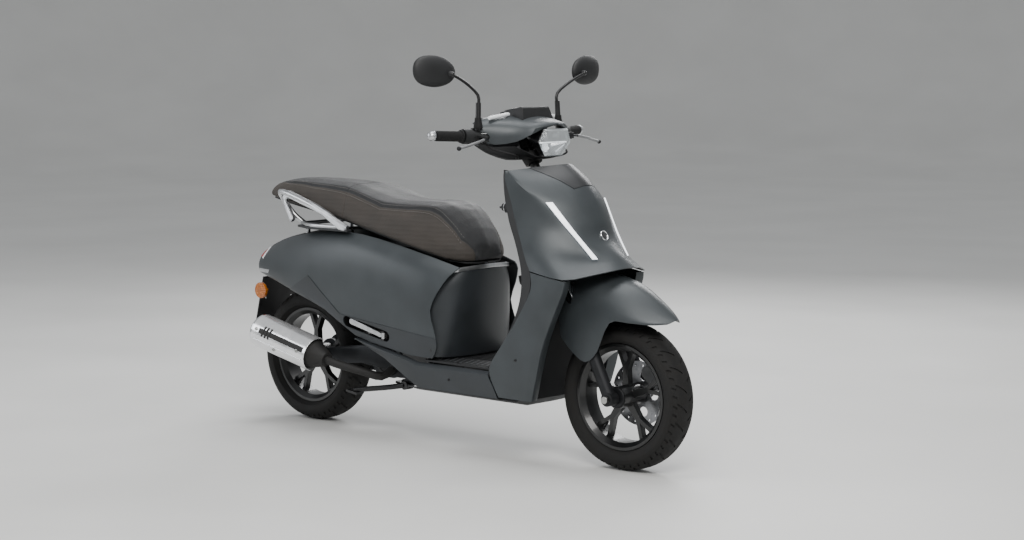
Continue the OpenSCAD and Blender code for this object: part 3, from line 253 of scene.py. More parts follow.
def seat_vinyl(name, colours, cell_mm, roughness, streak_mm=0.0):
    # Coated seat fabric: leather-like cells with fine creases between them.
    material, tree, shader = new_material(name, 60, colours, roughness, Sheen_Weight=0.04, Sheen_Roughness=0.5,
                                          Specular_IOR_Level=0.35)
    cells = texture(tree, "TexVoronoi", 1000 / cell_mm, {"Randomness": 0.85}, feature="DISTANCE_TO_EDGE")
    creases = add_node(tree, "MapRange", {"From Max": 0.12}, {"Value": (cells, "Distance")})
    emboss(tree, shader, creases, "Result", 0.22)
    if streak_mm:
        wave = texture(tree, "TexWave", 1000 / streak_mm / WAVES_PER_SCALE,
                       {"Distortion": 2.5, "Detail": 2, "Detail Scale": 1.5}, bands_direction="Z")
        emboss(tree, shader, wave, "Fac", 0.35)
    return material


def polished_shield_steel():
    # Polished stainless heat shield, faintly brushed along its length.
    material, tree, shader = new_material("polished stainless shield", 40, ("e4e5e7", "f2f2f3"), (0.16, 0.26),
                                          Metallic=0.75)
    drawn_out = add_node(tree, "Mapping", {"Scale": (1, 12, 12)}, {"Vector": (add_node(tree, "TexCoord"), "Object")})
    brush = add_node(tree, "TexNoise", {"Scale": 120, "Detail": 2}, {"Vector": (drawn_out, "Vector")})
    emboss(tree, shader, brush, "Fac", 0.03)
    return material


def ground_disc_steel():
    # Martensitic disc steel, ground in circles about the axle.
    material, tree, shader = new_material("ground disc steel", 20, ("85868a", "a0a1a4"), (0.26, 0.36), Metallic=1.0)
    centred = add_node(tree, "Mapping", {"Location": tuple(-front_axle)},
                       {"Vector": (add_node(tree, "TexCoord"), "Object")})
    # Grinding marks are 0.1 mm apart; drawn every 1.5 mm.
    rings = add_node(tree, "TexWave", {"Scale": 1000 / 1.5 / WAVES_PER_SCALE, "Distortion": 0.6},
                     {"Vector": (centred, "Vector")}, wave_type="RINGS", rings_direction="Y")
    emboss(tree, shader, rings, "Fac", 0.03)
    return material


def clear_polycarbonate():
    # Hard-coated clear cover: almost invisible face on, mirror-like where it turns away.
    material, tree, shader = new_material("clear polycarbonate", None, None, None, Roughness=0.03, Coat_Weight=1.0,
                                          Coat_Roughness=0.02, Base_Color=linear("dfe6ea"))
    rim = add_node(tree, "LayerWeight", {"Blend": 0.35})
    emboss(tree, shader, texture(tree, "TexNoise", 60), "Fac", 0.02)
    cover = add_node(tree, "MapRange", {"To Min": 0.1, "To Max": 0.85}, {"Value": (rim, "Facing")})
    tree.links.new(cover.outputs["Result"], shader.inputs["Alpha"])
    return material


def lit_diffuser(name, colours, glow, strength):
    # Opal light guide: lit from behind by a row of LEDs about 9 mm apart.
    material, tree, shader = new_material(name, 12, colours, (0.2, 0.3), Roughness=0.25, Coat_Weight=0.6,
                                          Emission_Color=linear(glow))
    level = add_node(tree, "MapRange", {"To Min": strength * 0.8, "To Max": strength * 1.2},
                     {"Value": (texture(tree, "TexNoise", 1000 / 9), "Fac")})
    tree.links.new(level.outputs["Result"], shader.inputs["Emission Strength"])
    return material


def prism_lens(name, colours, pitch_mm, glow):
    # Injection-moulded lens with square prisms behind its face.
    material, tree, shader = new_material(name, 10, colours, (0.22, 0.3), Coat_Weight=0.4, Coat_Roughness=0.06,
                                          Specular_IOR_Level=0.4, Emission_Color=linear(colours[1]),
                                          Emission_Strength=glow)
    for direction in ("Y", "Z"):
        bars = texture(tree, "TexWave", 1000 / pitch_mm / WAVES_PER_SCALE, bands_direction=direction)
        emboss(tree, shader, bars, "Fac", 0.5)
    return material


def painted_casting(name, colours, roughness):
    # Aluminium casting, bare or under thin paint: pebbly, with duller patches.
    return finish(name, 40, colours, roughness, (2.4, 0.14), Metallic=0.5)


def powder_coat(name, colours):
    # Orange-peel powder coat on tubes and brackets.
    return finish(name, 50, colours, (0.32, 0.44), (4, 0.05))


def dark_glass(name, colours):
    # Dark display or lens under glass.
    return finish(name, 40, colours, (0.08, 0.12), Coat_Weight=1.0, Coat_Roughness=0.03)


paint = satin_titanium_paint("satin titanium paint", ("34393c", "3b4043"))
# A darker copy of the body paint: painted shade on the floor skirts, the cover under the seat's nose and the lower side
# facets, which face down or sit under overhangs.
shaded_lower_paint = satin_titanium_paint("satin titanium paint, painted shade on lower panels", ("2b2f32", "313539"))
# Dark graphite paint of the shield's top inlay.
graphite = finish("graphite satin panel", 70, ("1e2022", "242629"), (0.44, 0.52), (1.4, 0.02), Metallic=0.3,
                  Coat_Weight=0.2, Coat_Roughness=0.35)
black_abs = grained_abs("grained black ABS", ("17181a", "1c1d1f"), 1.6, 0.09)
fine_abs = grained_abs("fine-grained black ABS", ("141516", "191a1c"), 0.9, 0.04)
floor_mat = grained_abs("ribbed floor rubber", ("2c2e30", "343638"), 2.4, 0.12)
# Powder coat under clear lacquer on the cast wheels: deep black with sharp highlights.
wheel_lacquer = finish("gloss black lacquer", 60, ("0a0b0c", "101112"), (0.34, 0.42), (5, 0.03), Coat_Weight=0.35,
                       Coat_Roughness=0.1)
# Polished black polycarbonate round the lamps and the dash.
gloss_black = finish("piano black polycarbonate", 80, ("0d0e0f", "131416"), (0.16, 0.24), Coat_Weight=0.8,
                     Coat_Roughness=0.04)
# Vulcanised tread compound: dull, slightly brown-black, dusty in its pores.
tread_rubber = finish("tyre rubber", 30, ("161616", "1e1d1c"), (0.72, 0.9), (2.2, 0.12), Specular_IOR_Level=0.35)
grip_stipple = soft_rubber()
seat_top = seat_vinyl("smooth seat vinyl", ("1c1d1f", "232426"), 2.2, (0.48, 0.6))
seat_side = seat_vinyl("ribbed seat vinyl", ("322e2a", "3b3632"), 3.2, (0.6, 0.75), 7.0)
# Bonded polyester thread, twisted in two plies.
thread = finish("bonded thread", 4, ("4a4744", "5a5652"), (0.6, 0.75), Sheen_Weight=0.3)
# Bead-blasted and anodised: even, pale, with a soft highlight.
aluminium = finish("satin anodised aluminium", 25, ("b9bbbd", "cbccce"), (0.28, 0.38), (1.2, 0.015), Metallic=1.0)
# Plated chrome, with the faint ripple of the plastic or steel under it.
chrome = finish("bright chrome", 50, ("d9dbdd", "e6e7e8"), (0.05, 0.1), (14, 0.04), Metallic=1.0)
shield_steel = polished_shield_steel()
disc_steel = ground_disc_steel()
casting = painted_casting("painted sand casting", ("1d1e20", "26272a"), (0.45, 0.6))
engine_alloy = painted_casting("dark painted alloy", ("222427", "2d2f32"), (0.4, 0.55))
# Also used on the brake lever blades, where its pale tone is partly a painted highlight.
caliper_alloy = painted_casting("bare cast alloy", ("77787a", "8a8b8d"), (0.38, 0.5))
# High-temperature silicone paint on the silencer: chalky and matt.
silencer_black = finish("heatproof black paint", 35, ("141414", "1f1e1d"), (0.6, 0.8), (1.5, 0.05))
frame_coat = powder_coat("black powder coat", ("131314", "19191b"))
spring_red = powder_coat("red spring enamel", ("5e0d0e", "6e1213"))
clear_cover = clear_polycarbonate()
daylight = lit_diffuser("opal daylight guide", ("eef2f5", "f8fafb"), "f4f9ff", 1.6)
white_indicator = lit_diffuser("clear indicator lens", ("d5d8da", "e4e6e7"), "f2f4f6", 0.25)
red_lens = prism_lens("red tail lens", ("6e0609", "98090d"), 3.0, 0.15)
# Its faint emission is a painted glow: the side reflectors and the horn button that use it are no lamps.
amber_lens = prism_lens("amber reflector lens", ("8f4a06", "b0630a"), 3.4, 0.03)
# Silvered float glass.
silvered = finish("silvered glass", 200, ("dfe5e8", "e8edf0"), (0.02, 0.04), Metallic=1.0, Coat_Weight=0.5)
display = dark_glass("dark display glass", ("07090b", "0c1013"))
projector_glass = dark_glass("smoked projector lens", ("2a3036", "353c43"))
# Bright zinc plate, slightly yellow and blue in turn.
zinc = finish("zinc-plated steel", 6, ("a9aaa6", "bcbdbb"), (0.25, 0.4), Metallic=1.0)


# ---------- working on meshes ----------


def end_edit():
    bpy.ops.object.mode_set(mode="OBJECT")


def deselect():
    if bpy.context.object and bpy.context.object.mode != "OBJECT":
        end_edit()
    bpy.ops.object.select_all(action="DESELECT")


def pick(piece):
    deselect()
    piece.select_set(True)
    bpy.context.view_layer.objects.active = piece


def start_edit(piece, action="SELECT", kind="FACE"):
    """Opens the piece for editing with everything selected, or nothing by the action DESELECT."""
    pick(piece)
    bpy.ops.object.mode_set(mode="EDIT")
    bpy.ops.mesh.select_mode(type=kind)
    bpy.ops.mesh.select_all(action=action)


def select_faces(piece, wanted):
    """Selects the faces for which wanted(centre, normal) is true, and leaves the piece open for editing."""
    start_edit(piece, "DESELECT")
    mesh = bmesh.from_edit_mesh(piece.data)
    for face in mesh.faces:
        face.select = wanted(face.calc_center_median(), face.normal)
    mesh.select_flush_mode()
    bmesh.update_edit_mesh(piece.data)


def settle(piece):
    """Puts the piece's place and turn into its mesh, with its faces pointing outwards."""
    pick(piece)
    bpy.ops.object.transform_apply(location=True, rotation=True, scale=True)
    start_edit(piece)
    bpy.ops.mesh.remove_doubles(threshold=SAME_PLACE)
    bpy.ops.mesh.normals_make_consistent(inside=False)
    end_edit()


def smooth(piece, angle):
    pick(piece)
    bpy.ops.object.shade_smooth_by_angle(angle=math.radians(angle))


def soften(piece, width_mm, segments, angle):
    """Rounds the edges sharper than angle, and evens the shading of the flats between them."""
    bevel = piece.modifiers.new("rounded edges", "BEVEL")
    bevel.width = width_mm * MM
    bevel.segments = segments
    bevel.limit_method = "ANGLE"
    bevel.angle_limit = math.radians(angle)
    bevel.harden_normals = False
    even = piece.modifiers.new("even shading", "WEIGHTED_NORMAL")
    even.keep_sharp = True


def add_wall(piece, thickness_mm, offset):
    """Thickens a skin: outwards by offset 1, inwards by -1, both ways by 0."""
    wall = piece.modifiers.new("wall", "SOLIDIFY")
    wall.thickness = thickness_mm * MM
    wall.offset = offset


def apply_modifiers(piece):
    pick(piece)
    for name in [m.name for m in piece.modifiers]:
        bpy.ops.object.modifier_apply(modifier=name)


def dress(piece, material, body):
    """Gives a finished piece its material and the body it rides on."""
    if material is not None:
        piece.data.materials.clear()
        piece.data.materials.append(material)
    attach(piece, body)
    return piece


def copy_node(node, name):
    """A loose copy of a CAD node, with its points merged and its faces made whole."""
    piece = add_object(name, frame["nodes"][node].data.copy())
    piece.data.name = name
    piece.data.materials.clear()
    pick(piece)
    if piece.data.has_custom_normals:
        bpy.ops.mesh.customdata_custom_splitnormals_clear()
    start_edit(piece)
    bpy.ops.mesh.remove_doubles(threshold=SAME_PLACE)
    end_edit()
    return piece


def body_of_node(node):
    return body_of(frame["nodes"][node])[0]


def finish_node(node, material, angle, edge_mm):
    """Shows a CAD node by a smooth-shaded copy, with its sharp edges rounded by edge_mm."""
    piece = copy_node(node, node + "_finished")
    smooth(piece, angle)
    if edge_mm:
        start_edit(piece)
        bpy.ops.mesh.dissolve_limited(angle_limit=math.radians(0.8))
        end_edit()
        soften(piece, edge_mm, 2, angle + 5)
    dress(piece, material, body_of_node(node))
    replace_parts(piece, node)


def overlay(node, name, planes, facing, proud_mm, material):
    """A thin panel that lies on a node's skin. Planes are (place, outward direction) pairs that trim it."""
    piece = copy_node(node, name)
    select_faces(piece, lambda centre, normal: normal.dot(Vector(facing)) < 0.05)
    bpy.ops.mesh.delete(type="FACE")
    for place, outward in planes:
        bpy.ops.mesh.select_all(action="SELECT")
        bpy.ops.mesh.bisect(plane_co=place, plane_no=outward, clear_outer=True)
    bpy.ops.mesh.select_all(action="SELECT")
    bpy.ops.mesh.remove_doubles(threshold=SAME_PLACE_ON_OVERLAY)
    bpy.ops.transform.shrink_fatten(value=(proud_mm - OVERLAY_WALL_MM) * MM)
    end_edit()
    add_wall(piece, OVERLAY_WALL_MM, 1)
    apply_modifiers(piece)
    smooth(piece, 30)
    soften(piece, 0.4, 1, 50)
    return dress(piece, material, body_of_node(node))


def mesh_piece(name, points, edges, faces):
    mesh = bpy.data.meshes.new(name)
    mesh.from_pydata(points, edges, faces)
    return add_object(name, mesh)


def face_piece(name, corners):
    """A flat piece of one face, from its outline's corners in order."""
    return mesh_piece(name, corners, [], [list(range(len(corners)))])


def line_piece(name, points):
    """A piece of edges only, from point to point."""
    return mesh_piece(name, points, [(i, i + 1) for i in range(len(points) - 1)], [])


def lathe(name, outline, centre, axis, steps):
    """Spins an outline of (distance from the axis, place along it) in millimetres round an axis."""
    piece = line_piece(name, [(r * MM, 0, h * MM) for r, h in outline])
    start_edit(piece, kind="EDGE")
    bpy.ops.mesh.spin(steps=steps, angle=2 * math.pi, center=(0, 0, 0), axis=(0, 0, 1))
    end_edit()
    piece.rotation_euler = Vector(axis).to_track_quat("Z", "Y").to_euler()
    piece.location = centre
    settle(piece)
    smooth(piece, 35)
    return piece


def turned(name, outline, centre, axis, steps, material, body, slot):
    """A finished turned piece."""
    return dress(lathe(name, outline, centre, axis, steps), material, body)


def wire(name, points, radius_mm, steps):
    """A round wire or hose along a smooth curve through the points."""
    data = bpy.data.curves.new(name, "CURVE")
    data.dimensions = "3D"
    data.bevel_depth = radius_mm * MM
    data.bevel_resolution = 2
    data.resolution_u = steps
    data.use_fill_caps = True
    line = data.splines.new("BEZIER")
    line.bezier_points.add(len(points) - 1)
    for knot, place in zip(line.bezier_points, points):
        knot.co = place
        knot.handle_left_type = knot.handle_right_type = "AUTO"
    piece = add_object(name, data)
    pick(piece)
    bpy.ops.object.convert(target="MESH")
    smooth(piece, 60)
    return piece


def block(name, corners, thick, material, body, edge_mm, segments=2):
    """A flat piece: its outline's corners in order, pushed out by the vector thick, with rounded edges."""
    piece = face_piece(name, corners)
    start_edit(piece)
    bpy.ops.mesh.extrude_region_move(TRANSFORM_OT_translate={"value": thick})
    end_edit()
    settle(piece)
    smooth(piece, 30)
    if edge_mm:
        soften(piece, edge_mm, segments, 30)
    return dress(piece, material, body)


def join(pieces, name):
    pick(pieces[0])
    for piece in pieces:
        piece.select_set(True)
    bpy.ops.object.join()
    pieces[0].name = name
    pieces[0].data.name = name
    return pieces[0]


def screw(at_place, direction, radius_mm, height_mm):
    """One socket-head screw: a bevelled head with a round socket sunk in it."""
    bpy.ops.mesh.primitive_cylinder_add(vertices=24, radius=radius_mm * MM, depth=height_mm * MM)
    piece = bpy.context.object
    select_faces(piece, lambda centre, normal: normal.z > 0.9)
    bpy.ops.mesh.inset(thickness=radius_mm * 0.22 * MM, depth=radius_mm * 0.12 * MM)
    bpy.ops.mesh.inset(thickness=radius_mm * 0.26 * MM, depth=0)
    bpy.ops.mesh.extrude_region_move(TRANSFORM_OT_translate={"value": (0, 0, -0.5 * height_mm * MM)})
    end_edit()
    piece.rotation_euler = Vector(direction).to_track_quat("Z", "Y").to_euler()
    piece.location = at_place
    settle(piece)
    smooth(piece, 35)
    return piece


def screws(name, places, radius_mm, height_mm, body, material):
    """Several screws of one kind as one piece; places are (place, direction) pairs."""
    made = join([screw(place, direction, radius_mm, height_mm) for place, direction in places], name)
    dress(made, material, body)


# ---------- CAD nodes that keep their shape ----------

# Finish, material slot, smoothing angle, rounded edge in millimetres, nodes.
PLAIN_NODES = (
    (frame_coat, "frame_black", 35, 0, "frame peg_brackets handlebar"),
    (frame_coat, "frame_black", 35, 1.2, "steering_stem"),
    (frame_coat, "frame_black", 40, 0, "centre_stand"),
    (frame_coat, "control_black", 45, 0, "mirror_stems luggage_hook"),
    (frame_coat, "shock_paint", 35, 0.8, "shock_body"),
    (paint, "body_grey", 38, 0, "front_shield side_panels headset_cover front_fender"),
    # The darker paint on the floor skirts and the seat's front cover is painted shade.
    (shaded_lower_paint, "body_grey", 38, 0, "floor_skirts"),
    (shaded_lower_paint, "lower_plastic", 38, 0, "seat_front_cover"),
    (black_abs, "lower_plastic", 38, 0, "inner_shield belly_pan tail_cover headset_back_cover"),
    (black_abs, "lower_plastic", 35, 0, "storage_bin"),
    (black_abs, "lower_plastic", 35, 0.8, "rear_mudguard"),
    (black_abs, "floor_rubber", 30, 1.0, "footboard"),
    (daylight, "lamp_white", 40, 0.8, "light_strips"),
    (red_lens, "lamp_red", 38, 0, "tail_lamp"),
    # The start button shares the tail lens and its emission: a painted glow on a button that is no lamp.
    (red_lens, "button_red", 35, 0.4, "start_button"),
    (amber_lens, "reflector_amber", 35, 0.8, "side_reflectors"),
    (amber_lens, "button_yellow", 35, 0.4, "horn_button"),
    (aluminium, "bright_metal", 40, 0, "grab_rail"),
    (aluminium, "bright_metal", 35, 0.8, "footpeg_right footpeg_left"),
    (aluminium, "bright_metal", 35, 0.4, "turn_switch"),
    (zinc, "bright_metal", 35, 0.8, "front_axle"),
    (chrome, "chrome", 35, 0.8, "fork_tubes shock_rod"),
    (gloss_black, "control_black", 30, 0.6, "headlamp_bowl"),
    (clear_cover, "lamp_clear", 30, 1.2, "headlamp_lens"),
    (white_indicator, "lamp_white", 35, 0, "front_indicators"),
    (fine_abs, "control_black", 30, 1.5, "instrument_pod"),
    (fine_abs, "control_black", 35, 0.8, "lever_perches ignition_knob"),
    (fine_abs, "control_black", 35, 1.2, "switch_boxes"),
    (fine_abs, "seat_shell", 35, 0, "seat_base"),
    (grip_stipple, "hose_rubber", 60, 0, "brake_hoses"),
    (casting, "lever_metal", 50, 0, "brake_lever_right brake_lever_left"),
    (casting, "casting", 35, 1.0, "fork_sliders"),
    (caliper_alloy, "casting", 35, 1.6, "brake_caliper"),
    (wheel_lacquer, "wheel_black", 35, 1.4, "front_rim rear_rim"),
    (disc_steel, "disc_steel", 35, 0.4, "brake_disc"),
    (engine_alloy, "engine_alloy", 35, 0, "engine_case"),
    (silencer_black, "exhaust_black", 40, 0, "exhaust"),
    (shield_steel, "shield_chrome", 40, 0.7, "muffler_shield"),
)
for material, slot, angle, edge, nodes in PLAIN_NODES:
    for node in nodes.split():
        finish_node(node, material, angle, edge)


# ---------- seat ----------


def between(stops, x):
    """The value at x along a list of (x, value) stops, straight between them."""
    if x <= stops[0][0]:
        return stops[0][1]
    for (x0, v0), (x1, v1) in zip(stops, stops[1:]):
        if x <= x1:
            return v0 + (v1 - v0) * (x - x0) / (x1 - x0)
    return stops[-1][1]


# Half width of the smooth top panel along the seat, millimetres.
TOP_PANEL = ((-800, 70), (-700, 100), (-565, 112), (-420, 116), (-345, 122), (-245, 124), (-135, 116),
             (-35, 106), (25, 100), (77, 90), (110, 62))
# Height of the cushion's lower edge along the seat.
LOW_EDGE = ((-811, 776), (-695, 760), (-565, 742), (-435, 722), (-345, 704), (-245, 682), (-135, 656), (-35, 632),
            (45, 610), (91, 604), (113, 603))
# The sewn seam across the step bows back by STEP_BOW at the middle of the seat.
STEP_X = -396
STEP_BOW = 26
SEAT_HALF_WIDTH = 150
SEAM_HALF_WIDTH = 4.5
SEAM_DEPTH = 2.6
# Seams keep this far above the lower edge.
SEAM_CLEARANCE = 6
# Over this height above the lower edge, in metres, the cover goes from held to free.
HELD_RISE = 0.03


def seam_distance(place):
    """Distance in millimetres from the nearest sewn seam of the seat: two along it, one across the step."""
    x, y = place.x * 1000, place.y * 1000
    along = abs(abs(y) - between(TOP_PANEL, x))
    across = abs(x - (STEP_X - STEP_BOW * max(0.0, 1 - (y / SEAT_HALF_WIDTH) ** 2)))
    return min(along, across)


def swell(piece, pressure, frames, cap_mm):
    """Inflates the cover by cloth simulation; no point moves more than cap_mm, and the flat underside stays."""
    rest = [vertex.co.copy() for vertex in piece.data.vertices]
    cloth = piece.modifiers.new("cover", "CLOTH")
    cloth.settings.use_pressure = True
    cloth.settings.uniform_pressure_force = pressure
    cloth.settings.tension_stiffness = 40
    cloth.settings.compression_stiffness = 40
    cloth.settings.effector_weights.gravity = 0
    cloth.point_cache.frame_end = frames
    for step in range(1, frames + 1):
        bpy.context.scene.frame_set(step)
    pick(piece)
    bpy.ops.object.modifier_apply(modifier=cloth.name)
    bpy.context.scene.frame_set(1)
    for vertex, start in zip(piece.data.vertices, rest):
        move = vertex.co - start
        if move.length > cap_mm * MM:
            move *= cap_mm * MM / move.length
        firm = max(0.0, min(1.0, (start.z - between(LOW_EDGE, start.x * 1000) * MM) / HELD_RISE))
        vertex.co = start + move * firm


def make_cushion():
    piece = copy_node("seat_cushion", "seat_cushion_cover")
    piece.data.remesh_voxel_size = 0.0055
    pick(piece)
    bpy.ops.object.voxel_remesh()
    swell(piece, pressure=4, frames=20, cap_mm=5)
    piece.modifiers.new("rounder", "SMOOTH").iterations = 6
    finer = piece.modifiers.new("finer", "SUBSURF")
    finer.levels = finer.render_levels = 1
    apply_modifiers(piece)
    # Sewn seams: a narrow valley along each, pulled in towards the foam.
    normals = [vertex.normal.copy() for vertex in piece.data.vertices]
    for vertex, normal in zip(piece.data.vertices, normals):
        above = vertex.co.z * 1000 - between(LOW_EDGE, vertex.co.x * 1000)
        distance = seam_distance(vertex.co)
        if distance < SEAM_HALF_WIDTH and above > SEAM_CLEARANCE:
            depth = SEAM_DEPTH * (0.5 + 0.5 * math.cos(math.pi * distance / SEAM_HALF_WIDTH))
            vertex.co -= normal * depth * MM
    for face in piece.data.polygons:
        x, y = face.center.x * 1000, face.center.y * 1000
        face.material_index = int(abs(y) > between(TOP_PANEL, x))
        face.use_smooth = True
    dress(piece, None, "seat")
    piece.data.materials.append(seat_top)
    piece.data.materials.append(seat_side)
    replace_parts(piece, "seat_cushion")
    return piece


STITCH_PITCH = 7
STITCH_ROW_FROM_SEAM = 7


def stitch_rows(surface):
    """Twin rows of stitches on both sides of the long seams, laid on the cushion's own surface."""
    bpy.ops.mesh.primitive_cylinder_add(vertices=6, radius=0.0008, depth=0.0046)
    model = bpy.context.object
    select_faces(model, lambda centre, normal: abs(normal.z) > 0.9)
    bpy.ops.mesh.inset(thickness=0.0003, depth=0.0004)
    end_edit()
    rows = bmesh.new()
    for side in SIDES:
        for inset in (STITCH_ROW_FROM_SEAM, -STITCH_ROW_FROM_SEAM):
            for x in range(-745, 75, STITCH_PITCH):
                ends = [at(end, side * (between(TOP_PANEL, end) - inset), 1000) for end in (x, x + STITCH_PITCH)]
                hits = [surface.ray_cast(end, (0, 0, -1)) for end in ends]
                if not (hits[0][0] and hits[1][0]):
                    continue
                run = hits[1][1] - hits[0][1]
                stitch = model.data.copy()
                stitch.transform(run.to_track_quat("Z", "Y").to_matrix().to_4x4())
                stitch.transform(Matrix.Translation((hits[0][1] + hits[1][1]) / 2 + hits[0][2] * 0.0003))
                rows.from_mesh(stitch)
                bpy.data.meshes.remove(stitch)
    rows.to_mesh(model.data)
    rows.free()
    model.name = model.data.name = "seat_stitching"
    smooth(model, 60)
    dress(model, thread, "seat")


cushion = make_cushion()
deselect()
bpy.context.view_layer.update()
stitch_rows(cushion)


def seat_band():
    """Bright band under the seat's nose, round the top of the tunnel cover."""
    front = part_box("seat_front_cover")[1].x * 1000
    half = [(front + x, y) for x, y in ((-66, -146), (-30, -122), (-12, -78), (2, -30), (3, 0))]
    line = half + [(x, -y) for x, y in reversed(half[:-1])]
    piece = line_piece("seat_nose_band", [at(x, y, 580 - (y / 43) ** 2) for x, y in line])
    start_edit(piece, kind="EDGE")
    bpy.ops.mesh.extrude_region_move(TRANSFORM_OT_translate={"value": (-0.002, 0, 0.013)})
    end_edit()
    add_wall(piece, 4, 0)
    edges = piece.modifiers.new("rounded", "BEVEL")
    edges.width = 0.0014
    edges.segments = 2
    apply_modifiers(piece)
    settle(piece)
    smooth(piece, 40)
    dress(piece, aluminium, "chassis")


seat_band()


# ---------- tyres ----------


TREAD_STEPS = 216
TREAD_PATTERN_STEPS = 9
# Metres from the axle: where the tread blocks slant, and where grooves can be cut.
TREAD_FROM = 0.2035
GROOVES_FROM = 0.2045
# Turn of the tread blocks round the axle, in radians for a metre across.
TREAD_SLANT = 3.4
GROOVE_DEPTH = 0.003


def tread_outline(width, crown):
    """Outline of a tyre from bead to bead in (radius, across), millimetres, with a fine step on the crown."""
    half = width / 2
    flank = [(154.5, -30), (163.5, -34.5), (165.5, -41), (168, -44), (175, -half + 3), (183, -half + 0.6),
             (191, -half), (195, -half + 0.2), (196, -half + 0.9), (197, -half + 1), (203, -half + 4)]
    tread = []
    steps = 22
    for k in range(steps + 1):
        y = (half - 6) * (2 * k / steps - 1)
        tread.append((crown - 20 * abs(y / (half - 6)) ** 3.2, y))
    return flank + tread + [(r, -y) for r, y in reversed(flank)]


def make_tyre(node, body, width):
    """A tyre with slanted tread grooves cut 3 mm deep into its crown."""
    axle = centre_of(node)
    piece = lathe(node + "_with_tread", tread_outline(width, tyre_radius * 1000), axle, (0, 1, 0), TREAD_STEPS)
    for vertex in piece.data.vertices:
        arm = vertex.co - axle
        if math.hypot(arm.x, arm.z) > TREAD_FROM:
            turn = TREAD_SLANT * abs(arm.y)
            c, s = math.cos(turn), math.sin(turn)
            arm.x, arm.z = arm.x * c - arm.z * s, arm.x * s + arm.z * c
            vertex.co = axle + arm
    half = width / 2 - 6

    def in_groove(centre, normal):
        arm = centre - axle
        if math.hypot(arm.x, arm.z) < GROOVES_FROM:
            return False
        across = arm.y * 1000
        angle = math.degrees(math.atan2(arm.z, arm.x) - TREAD_SLANT * abs(arm.y)) % 360
        column = int(angle / (360 / TREAD_STEPS) + 0.5) % TREAD_PATTERN_STEPS
        long_groove = column == 0 and 6 < across < half - 10 or column == 4 and -half + 10 < across < -6
        shoulder = column in (2, 7) and abs(across) > half - 9
        return long_groove or shoulder

    select_faces(piece, in_groove)
    bpy.ops.mesh.extrude_region_shrink_fatten(TRANSFORM_OT_shrink_fatten={"value": -GROOVE_DEPTH})
    end_edit()
    smooth(piece, 40)
    dress(piece, tread_rubber, body)
    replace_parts(piece, node)


make_tyre("front_tyre", "front_wheel", 110)
make_tyre("rear_tyre", "rear_wheel", 120)


# ---------- headlamp, instruments and controls ----------

LAMP_ORIGIN = at(367.2, 0, 988)
LAMP_TURN = Matrix.Rotation(math.radians(8), 3, "Y")


def lamp_place(x, y, z):
    """A place in millimetres measured in the headlamp, whose face looks slightly down."""
    return LAMP_ORIGIN + LAMP_TURN @ at(x, y, z)


def sunk_reflector(name, corners, x, rim_mm, depth_mm, material):
    """A reflector: an outline facing forward, sunk in two steps into a bowl."""
    piece = face_piece(name, [lamp_place(x, y, z) for y, z in corners])
    start_edit(piece)
    for share in (0.35, 0.65):
        bpy.ops.mesh.inset(thickness=rim_mm * share * MM)
        bpy.ops.transform.translate(value=LAMP_TURN @ at(-depth_mm * share, 0, 0))
    end_edit()
    add_wall(piece, 1.2, -1)
    apply_modifiers(piece)
    settle(piece)
    smooth(piece, 25)
    dress(piece, material, "steering")


def make_headlamp():
    ahead = LAMP_TURN @ Vector((1, 0, 0))
    lower = [(-66, -3), (66, -3), (36, -41), (-36, -41)]
    sunk_reflector("lamp_lower_reflector", lower, 9, 17, 26, chrome)
    for side, name in NAMED_SIDES:
        upper = [(side * 4, 39), (side * 4, 4), (side * 66, 4), (side * 50, 39)]
        sunk_reflector("lamp_upper_reflector_" + name, upper[::-side], 5, 12, 22, gloss_black)
        middle = lamp_place(-6, side * 30, 20)
        turned("lamp_projector_" + name, [(0, 9), (6, 7.6), (10, 3.5), (12, -2), (12, -12), (0, -12)], middle, ahead,
               32, projector_glass, "steering", "lamp_clear")
        turned("lamp_projector_ring_" + name, [(12.3, -10), (15, -10), (15, 1), (13.6, 2.5), (12.3, 1)], middle, ahead,
               32, chrome, "steering", "chrome")
    bar = [lamp_place(11, y, z) for y, z in ((-64, -2.2), (64, -2.2), (64, 2.2), (-64, 2.2))]
    block("lamp_position_bar", bar, LAMP_TURN @ at(2.5, 0, 0), daylight, "steering", 0.5)
    turned("lamp_main_emitter", [(0, 6), (4, 5), (6, 1), (6, -8), (0, -8)], lamp_place(-10, 0, -22), ahead, 24,
           daylight, "steering", "lamp_white")


make_headlamp()


def make_display():
    """Glass of the instruments, with plain bars and a ring on its dark display."""
    turn = Matrix.Rotation(math.radians(-10), 3, "Y")
    origin = at(219.2, 0, 1080)

    def spot(x, y, z):
        return origin + turn @ at(x, y, z)

    glass = [spot(x, y, 0.6) for x, y in ((2, -48), (50, -48), (50, 48), (2, 48))]
    block("instrument_glass", glass, turn @ at(0, 0, 2.2), display, "steering", 1.0)
    bars = []
    for k in range(7):
        low, high, length = -38 + k * 5, -35 + k * 5, 13 + k * 1.4
        corners = [spot(x, y, 2.9) for x, y in ((12, low), (length, low), (length, high), (12, high))]
        bars.append(block("bar", corners, turn @ at(0, 0, 0.3), daylight, "steering", 0))
    dress(join(bars, "instrument_bars"), daylight, "steering")
    turned("instrument_ring", [(12, 0), (14, 0), (14, 0.5), (12, 0.5), (12, 0)], spot(26, 22, 2.9),
           turn @ Vector((0, 0, 1)), 40, daylight, "steering", "lamp_white")


make_display()


MIRROR_HALF_WIDTH, MIRROR_HALF_HEIGHT, MIRROR_DEPTH = 0.080, 0.048, 0.024
# How far the mirror's outline goes from a round towards a rounded square, and how much lower it is at its thin end.
MIRROR_SQUARENESS = 0.55
MIRROR_TAPER = 0.22


